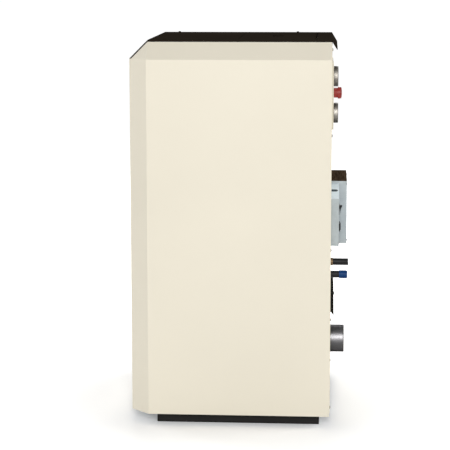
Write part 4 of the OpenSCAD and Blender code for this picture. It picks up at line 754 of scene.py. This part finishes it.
def display(at):
    """Smoked, slightly bowed window with glowing digits and a degree ring behind it."""
    left, right, half_height = -72 * MM, 0.0, 14 * MM
    bow, sunk, steps = 0.5 * MM, 0.6 * MM, 10
    points = []
    for j in range(steps + 1):
        for i in range(steps + 1):
            u, v = 2 * i / steps - 1, 2 * j / steps - 1
            x = left + (right - left) * i / steps
            points.append((x, half_height * v, bow * (1 - u ** 4) * (1 - v ** 4) - sunk))
    pane = points, grid_faces(steps + 1, steps + 1)
    add_piece("display_window", *placed(pane, at), "smoked", slot="glass")
    digit_width, digit_height, bar, pitch = 8 * MM, 15 * MM, 2.1 * MM, 12 * MM
    first_x, behind = -50 * MM, 1.5 * MM
    parts = []
    for k, digit in enumerate(DISPLAY_TEXT):
        for outline in seven_segment(digit, digit_width, digit_height, bar):
            moved = [(x + first_x + k * pitch, y - digit_height / 2) for x, y in outline]
            parts.append(prism(moved, LEGEND_THICKNESS, -behind))
    degree_ring = lathe(millimetres([(1.1, -1.5), (1.9, -1.5), (1.9, -1.38), (1.1, -1.38)]), steps=20)
    ring_x, ring_y = -22 * MM, 5 * MM
    parts.append(placed(degree_ring, Matrix.Translation((ring_x, ring_y, 0))))
    add_piece("display_digits", *placed(joined(parts), at), "lit", slot="glass")


def button_mark(key):
    """Printed ring on a button; the power button's ring is open at the top and holds a short bar."""
    low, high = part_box(f"button_{key}")
    at = slope_frame(f"button_{key}", (low.x + high.x) / 2)
    gap = math.radians(40) if key == "power" else 0.0
    ring = millimetres([(2.3, 0), (2.9, 0), (2.9, 0.12), (2.3, 0.12)])
    parts = [lathe(ring, steps=40, start=math.pi / 2 + gap, sweep=2 * math.pi - 2 * gap)]
    if key == "power":
        bar_half, bar_start, bar_end = 0.3 * MM, 0.6 * MM, 3.4 * MM
        parts.append(prism(rectangle(-bar_half, bar_start, bar_half, bar_end), LEGEND_THICKNESS))
    add_piece(f"{key}_mark", *placed(joined(parts), at), "dial", slot="chrome", body=f"{key}_button")


def console():
    """Display, button marks and a status lamp."""
    at = slope_frame("console_bezel", 0)
    display(at)
    for key in ("power", "mode"):
        button_mark(key)
    lamp = lathe(millimetres([(0, 1.2), (1.2, 0.9), (1.8, 0.2), (2.2, 0)]), steps=24)
    lamp_x = 72 * MM
    add_piece("status_lamp", *placed(lamp, at @ Matrix.Translation((lamp_x, 0, 0))), "lit", slot="glass")


# Back of the casing
def screw_head(radius, height):
    """Low domed head that stands on local Z."""
    return lathe([(0, height), (0.55 * radius, 0.93 * height), (0.85 * radius, 0.7 * height),
                  (radius, 0.25 * height), (radius, 0)], steps=24)


def slotted_screw(at, radius, height, slot_length):
    """Head of one screw and a dark sheet in its slot, painted shade, as two parts."""
    slot_width, slot_thickness, slot_sunk = 0.7 * MM, 0.3 * MM, 0.2 * MM
    outline = rectangle(-slot_length / 2, -slot_width / 2, slot_length / 2, slot_width / 2)
    slot = prism(outline, slot_thickness, height - slot_sunk)
    return placed(screw_head(radius, height), at), placed(slot, at)


def box_fixings():
    """Small slotted screws with painted shade in their slots, and two dark lines of painted shade along the
    folds, on the rear of the control boxes.
    """
    low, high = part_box("control_box")
    side_low, side_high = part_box("switch_box")
    inset, side_inset, side_rise, side_pitch = 9 * MM, 9 * MM, 8 * MM, 110 * MM
    screws = []
    for x in (low.x + inset, high.x - inset):
        for z in (low.z + inset, high.z - inset):
            at = frame_at((x, high.y, z), BACKWARD)
            screws.append(slotted_screw(at, radius=3.2 * MM, height=1.7 * MM, slot_length=4.4 * MM))
    for z in (side_low.z + side_rise, side_low.z + side_rise + side_pitch):
        at = frame_at((side_high.x - side_inset, side_high.y, z), BACKWARD)
        screws.append(slotted_screw(at, radius=3.0 * MM, height=1.6 * MM, slot_length=4.0 * MM))
    add_piece("box_screws", *joined([head for head, slot in screws]), "screw", slot="screw_zinc")
    # Dark sheets in the screw slots: painted shade
    add_piece("box_screw_slot_painted_shade", *joined([slot for head, slot in screws]), "needle", slot="black_plastic")
    # Dark lines along the folds of the sheet: painted shade
    line_width, line_proud, line_margin, line_inset = 0.5 * MM, 0.06 * MM, 5 * MM, 4 * MM
    outline = rectangle(low.x + line_margin, -line_width / 2, high.x - line_margin, line_width / 2)
    line = prism(outline, line_proud)
    lines = []
    for z in (low.z + line_inset, high.z - line_inset):
        backward = Matrix.Translation((0, high.y, z)) @ Matrix.Rotation(-math.pi / 2, 4, "X")
        lines.append(placed(line, backward))
    add_piece("box_fold_painted_shade", *joined(lines), "needle", slot="black_plastic")


def sloped_slot():
    """Dark sheet in the gap between the two folded sheets of the switch box's sloped top, painted shade,
    with a raised lip beside it.
    """
    low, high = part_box("switch_box")
    verts = [v.co for v in NODES["switch_box"].data.vertices]
    edge_reach = 0.5 * MM
    left = Vector((low.x, 0, max(v.z for v in verts if v.x < low.x + edge_reach)))
    right = Vector((high.x, 0, max(v.z for v in verts if v.x > high.x - edge_reach)))
    place_share, width, front_margin, rear_margin = 0.48, 15 * MM, 0.8 * MM, 3.2 * MM
    y0, y1 = low.y + front_margin, high.y - rear_margin
    half = (y1 - y0) / 2
    downhill, rearward = (right - left).normalized(), Vector(BACKWARD)
    m = Matrix((downhill, rearward, downhill.cross(rearward))).transposed().to_4x4()
    m.translation = left + (right - left) * place_share + rearward * (y0 + y1) / 2
    radius, arc_steps = width / 2, 8
    outline = [(-radius, -half), (radius, -half)]
    for k in range(arc_steps + 1):
        t = math.pi * k / arc_steps
        outline.append((radius * math.cos(t), half - radius + radius * math.sin(t)))
    gap_thickness, lip_gap, lip_width, lip_thickness = 0.16 * MM, 0.2 * MM, 1.0 * MM, 0.5 * MM
    gap = prism(outline, gap_thickness, -gap_thickness / 2)
    # The dark sheet in the gap is painted shade
    add_piece("switch_box_gap_painted_shade", *placed(gap, m), "gap", slot="black_plastic")
    lip = rectangle(-radius - lip_gap - lip_width, -half, -radius - lip_gap, half)
    add_piece("switch_box_lip", *placed(prism(lip, lip_thickness, -lip_thickness / 2), m), "zinc",
              slot="galvanised", bevel=0.15 * MM)


def switch_details():
    """Deep rocker cap that tilts with the switch, and the raised collar of the mains inlet."""
    low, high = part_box("rocker")
    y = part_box("switch_box")[1].y
    half = 6.1 * MM
    side = [(3.4, -11.0), (3.8, -11.0), (4.5, -4.0), (6.2, 4.0), (9.4, 9.0), (9.0, 11.6),
            (7.0, 12.2), (6.0, 11.0), (3.4, 11.0)]
    centre = (low + high) / 2
    # The outline's X points to the rear, its Y up, and it is raised from left to right
    upright = Matrix(((0, 0, 1, centre.x - half), (1, 0, 0, y), (0, 1, 0, centre.z), (0, 0, 0, 1)))
    add_piece("rocker_cap", *placed(prism(millimetres(side), 2 * half), upright), "plastic",
              slot="black_plastic", body="mains_rocker", bevel=0.4 * MM)
    inlet_low, inlet_high = min(islands("mains_fittings"), key=lambda box: box[0].z)
    middle = (inlet_low + inlet_high) / 2
    half_x, half_z, corner = 13.2 * MM, 9.6 * MM, 4 * MM
    rim = millimetres([(0.0, -0.6), (0.0, 1.5), (0.6, 2.1), (2.0, 2.1), (2.5, 1.7), (2.5, -0.6)])
    loops = [rounded_loop(half_x - inset, half_z - inset, corner, out) for inset, out in rim]
    at = frame_at((middle.x, inlet_high.y, middle.z), BACKWARD)
    add_piece("inlet_collar", *placed(lofted(loops), at), "plastic", slot="black_plastic")


def cap_crown():
    """Slightly domed end of the red cap."""
    low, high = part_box("valve_cap")
    radius = (high.x - low.x) / 2
    dome = lathe([(0, 2.4 * MM), (0.4 * radius, 2.2 * MM), (0.7 * radius, 1.5 * MM),
                  (0.88 * radius, 0.7 * MM), (0.97 * radius, 0), (0.95 * radius, -0.6 * MM)], steps=72)
    at = frame_at(((low.x + high.x) / 2, high.y, (low.z + high.z) / 2), BACKWARD)
    add_piece("cap_crown", *placed(dome, at), "red", slot="red_plastic", body="safety_cap")


def offset_profile(radius, points):
    """Lathe profile whose radii are given in millimetres from a radius."""
    return [(radius + r, h) for r, h in millimetres(points)]


def sleeve_details():
    """Copper olive where the flow pipe meets the panel, and rounded ends on both pipe sleeves."""
    plate_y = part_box("rear_panel")[1].y
    olive = [(-0.1, 6.4), (0.8, 6.0), (1.5, 4.6), (1.5, 2.0), (0.8, 0.6), (-0.1, 0.1)]
    flow, back = islands("pipe_sleeves")
    for key, (low, high) in (("return", back), ("flow", flow)):
        x, z, r = (low.x + high.x) / 2, (low.z + high.z) / 2, (high.z - low.z) / 2
        reach = 0.1 * MM
        if key == "flow":
            base = placed(lathe(offset_profile(r, olive), steps=48), frame_at((x, plate_y, z), BACKWARD))
            add_piece("flow_olive", *base, "copper", slot="copper")
            past_pipe = 0.3 * MM
            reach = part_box("water_pipes")[1].y - high.y + past_pipe
        end = [(r - 2.6 * MM, reach), (r - 0.6 * MM, reach), (r - 0.1 * MM, reach - 0.4 * MM),
               (r + 0.05 * MM, reach - 1.2 * MM), (r + 0.05 * MM, -1.4 * MM), (r - 0.05 * MM, -1.7 * MM)]
        at = frame_at((x, high.y, z), BACKWARD)
        add_piece(f"{key}_sleeve_lip", *placed(lathe(end, steps=48), at), "sleeve", slot="black_plastic")


def flue_details():
    """Rolled edge at the end of the flue stub, and its weld line along the underside."""
    low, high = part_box("flue_outlet")
    z = (low.z + high.z) / 2
    end_reach = 5 * MM
    end = [v.co for v in NODES["flue_outlet"].data.vertices if v.co.y > high.y - end_reach]
    radius = max(math.hypot(v.x, v.z - z) for v in end)
    at = frame_at((0, high.y, z), BACKWARD)
    edge = [(-1.9, -1.0), (-1.6, 0.15), (-0.7, 0.4), (0.12, 0.1), (0.2, -1.0), (-0.02, -2.2)]
    rolled = lathe(offset_profile(radius, edge), steps=96)
    add_piece("flue_rolled_edge", *placed(rolled, at), "flue", slot="bare_steel")
    length = high.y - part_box("rear_panel")[1].y
    rings, arc_steps, waver, ripple = 40, 4, 0.25 * MM, 1.9
    half_width, height, sunk = 1.3 * MM, 0.5 * MM, 0.12 * MM
    bead = []
    for k in range(rings):
        x = waver * math.sin(k * ripple)
        for j in range(arc_steps + 1):
            a = math.pi * j / arc_steps
            bead.append((x + half_width * math.cos(a), sunk - radius - height * math.sin(a),
                         length * k / (rings - 1) - length))
    weld = bead, grid_faces(rings, arc_steps + 1)
    add_piece("flue_weld", *placed(weld, at), "flue", slot="bare_steel")


# Front
def door_details():
    """Four screws with six-sided sockets around the door's pane; a dark sheet in each socket is painted
    shade.
    """
    low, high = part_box("door_frame")
    glass_low, glass_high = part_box("door_glass")
    side_inset, end_inset = 14 * MM, 22 * MM
    head_radius, head_height = 4.2 * MM, 2 * MM
    socket_radius, socket_sunk, socket_thickness = 2 * MM, 0.25 * MM, 0.3 * MM
    corners = [math.pi * k / 3 for k in range(6)]
    hexagon = [(socket_radius * math.cos(a), socket_radius * math.sin(a)) for a in corners]
    heads, sockets = [], []
    for x in (glass_low.x + side_inset, glass_high.x - side_inset):
        for z in (low.z + end_inset, high.z - end_inset):
            at = frame_at((x, low.y, z), FORWARD)
            heads.append(placed(screw_head(head_radius, head_height), at))
            sockets.append(placed(prism(hexagon, socket_thickness, head_height - socket_sunk), at))
    add_piece("door_screws", *joined(heads), "bare", slot="bare_steel", body="fire_door")
    # The dark hexagons are painted shade
    add_piece("door_socket_painted_shade", *joined(sockets), "needle", slot="black_plastic", body="fire_door")


def drawer_pull():
    """Folded finger pull under the upper edge of the ash drawer's front, shallower at its ends."""
    low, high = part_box("ash_drawer_front")
    half, depth, drop = 62 * MM, 14 * MM, 9 * MM
    below_edge, seated, end_loss, steps = 26 * MM, 0.4 * MM, 0.35, 24
    section = [(0.0, 0.0), (0.25, -0.02), (0.6, -0.02), (0.85, -0.1),
               (0.97, -0.35), (1.0, -0.7), (0.96, -1.0)]
    verts = []
    for i in range(steps + 1):
        u = 2 * i / steps - 1
        ease = 1 - end_loss * abs(u) ** 6
        for out, down in section:
            verts.append((u * half, low.y + seated - out * depth * ease, high.z - below_edge + down * drop))
    pull = verts, grid_faces(steps + 1, len(section))
    piece = add_piece("drawer_pull", *pull, "door", slot="door_paint", body="ash_drawer")
    sheet = piece.modifiers.new("sheet", "SOLIDIFY")
    sheet.thickness = 1.4 * MM
    edge = piece.modifiers.new("edge", "BEVEL")
    edge.width = 0.4 * MM
    edge.segments = 2


# Studio: the floor glows a little, least near the casing, so that only the casing's shadow darkens it
FLOOR_RADIUS = 60.0
GLOW_NEAR, GLOW_FAR = 0.16, 0.64
NEAR, FAR = 0.42, 0.95
WORLD_LIGHT = 0.4


def background_rays(tree):
    """1 for the rays that show the background (camera, glossy and transmission) and 0 for the others."""
    path = tree.nodes.new("ShaderNodeLightPath")
    value = path.outputs["Is Camera Ray"]
    for name in ("Is Glossy Ray", "Is Transmission Ray"):
        larger = tree.nodes.new("ShaderNodeMath")
        larger.operation = "MAXIMUM"
        tree.links.new(value, larger.inputs[0])
        tree.links.new(path.outputs[name], larger.inputs[1])
        value = larger.outputs[0]
    return value


def studio_floor():
    """Wide round pale floor with a faint unevenness of tone."""
    mesh = bpy.data.meshes.new("studio_floor")
    sides = 48
    angles = [2 * math.pi * k / sides for k in range(sides)]
    verts = [(FLOOR_RADIUS * math.cos(a), FLOOR_RADIUS * math.sin(a), 0.0) for a in angles]
    mesh.from_pydata(verts, [], [tuple(range(sides))])
    obj = bpy.data.objects.new("studio_floor", mesh)
    bpy.context.scene.collection.objects.link(obj)
    s = Surface("studio_floor", 0.9, Specular_IOR_Level=0.0)
    tone = linear(252, 252, 252)
    s.colour(s.layer(shade(tone, 0.995), tone, s.noise(3, detail=3.0), 0.3, 0.7))
    distance = s.tree.nodes.new("ShaderNodeVectorMath")
    distance.operation = "LENGTH"
    s.link(s.coords.outputs["Object"], distance.inputs[0])
    strength = s.tree.nodes.new("ShaderNodeMath")
    strength.operation = "MULTIPLY"
    s.link(background_rays(s.tree), strength.inputs[0])
    s.link(s.span(distance.outputs["Value"], NEAR, FAR, GLOW_NEAR, GLOW_FAR), strength.inputs[1])
    glow = s.tree.nodes.new("ShaderNodeEmission")
    s.link(strength.outputs[0], glow.inputs["Strength"])
    both = s.tree.nodes.new("ShaderNodeAddShader")
    s.link(s.shader.outputs["BSDF"], both.inputs[0])
    s.link(glow.outputs["Emission"], both.inputs[1])
    s.link(both.outputs["Shader"], s.tree.nodes["Material Output"].inputs["Surface"])
    mesh.materials.append(s.material)


def world_light():
    """Even soft white surroundings; the camera and clear reflections see plain white."""
    world = bpy.data.worlds.new("studio")
    bpy.context.scene.world = world
    world.use_nodes = True
    tree = world.node_tree
    tree.nodes.clear()
    mix = tree.nodes.new("ShaderNodeMixShader")
    tree.links.new(background_rays(tree), mix.inputs["Fac"])
    light_side, background_side = mix.inputs[1], mix.inputs[2]
    for side, strength in ((light_side, WORLD_LIGHT), (background_side, 1.0)):
        white = tree.nodes.new("ShaderNodeBackground")
        white.inputs["Color"].default_value = WHITE
        white.inputs["Strength"].default_value = strength
        tree.links.new(white.outputs[0], side)
    out = tree.nodes.new("ShaderNodeOutputWorld")
    tree.links.new(mix.outputs[0], out.inputs["Surface"])


def softbox(name, place, target, size, power):
    """Rectangular lamp, width and height in metres, that looks from its place at a target."""
    light = bpy.data.lights.new(name, "AREA")
    light.shape = "RECTANGLE"
    light.size, light.size_y = size
    light.energy = power
    obj = bpy.data.objects.new(name, light)
    obj.location = place
    obj.rotation_euler = (Vector(place) - Vector(target)).to_track_quat("Z", "Y").to_euler()
    bpy.context.scene.collection.objects.link(obj)


# Camera at the photograph's place; angles in radians
FRAME_PIXELS = 450
FOCAL_PIXELS = 1600
SHIFT_PIXELS = 40
SENSOR_WIDTH = 36
CAMERA_PLACE = (4.6460, 0.2760, 1.3048)
CAMERA_YAW = -0.0658
CAMERA_PITCH = 0.1413
CAMERA_ROLL = 0.0011


def camera():
    """Camera that looks along -X, turned by the yaw, tipped down by the pitch and rolled."""
    data = bpy.data.cameras.new("photo_view")
    data.sensor_width = SENSOR_WIDTH
    data.lens = FOCAL_PIXELS * SENSOR_WIDTH / FRAME_PIXELS
    data.shift_y = -SHIFT_PIXELS / FRAME_PIXELS
    data.clip_start, data.clip_end = 0.05, 300
    obj = bpy.data.objects.new("photo_view", data)
    bpy.context.scene.collection.objects.link(obj)
    bpy.context.scene.camera = obj
    level = math.cos(CAMERA_PITCH)
    ahead = Vector((-math.cos(CAMERA_YAW) * level, math.sin(CAMERA_YAW) * level, -math.sin(CAMERA_PITCH)))
    right = Vector((math.sin(CAMERA_YAW), math.cos(CAMERA_YAW), 0))
    down = ahead.cross(right)
    rolled_right = math.cos(CAMERA_ROLL) * right + math.sin(CAMERA_ROLL) * down
    rolled_down = math.cos(CAMERA_ROLL) * down - math.sin(CAMERA_ROLL) * right
    m = Matrix((rolled_right, -rolled_down, -ahead)).transposed().to_4x4()
    m.translation = CAMERA_PLACE
    obj.matrix_world = m


camera()
studio_floor()
world_light()
middle = (0, 0, 0.6)
softbox("key", (5.1, 0.42, 2.35), target=(0, 0.15, 0.7), size=(0.8, 1.6), power=118)
softbox("fill_front", (-2.8, -4.4, 2.2), target=middle, size=(2.0, 2.0), power=70)
softbox("fill_back", (-1.0, 4.5, 2.4), target=middle, size=(2.0, 2.0), power=66)
softbox("fill_left", (-4.3, -0.3, 3.4), target=middle, size=(2.0, 2.0), power=84)
bpy.context.scene.view_settings.view_transform = "Standard"

cross_recess_painted_shade()
gauges()
console()
box_fixings()
sloped_slot()
switch_details()
cap_crown()
sleeve_details()
flue_details()
door_details()
drawer_pull()
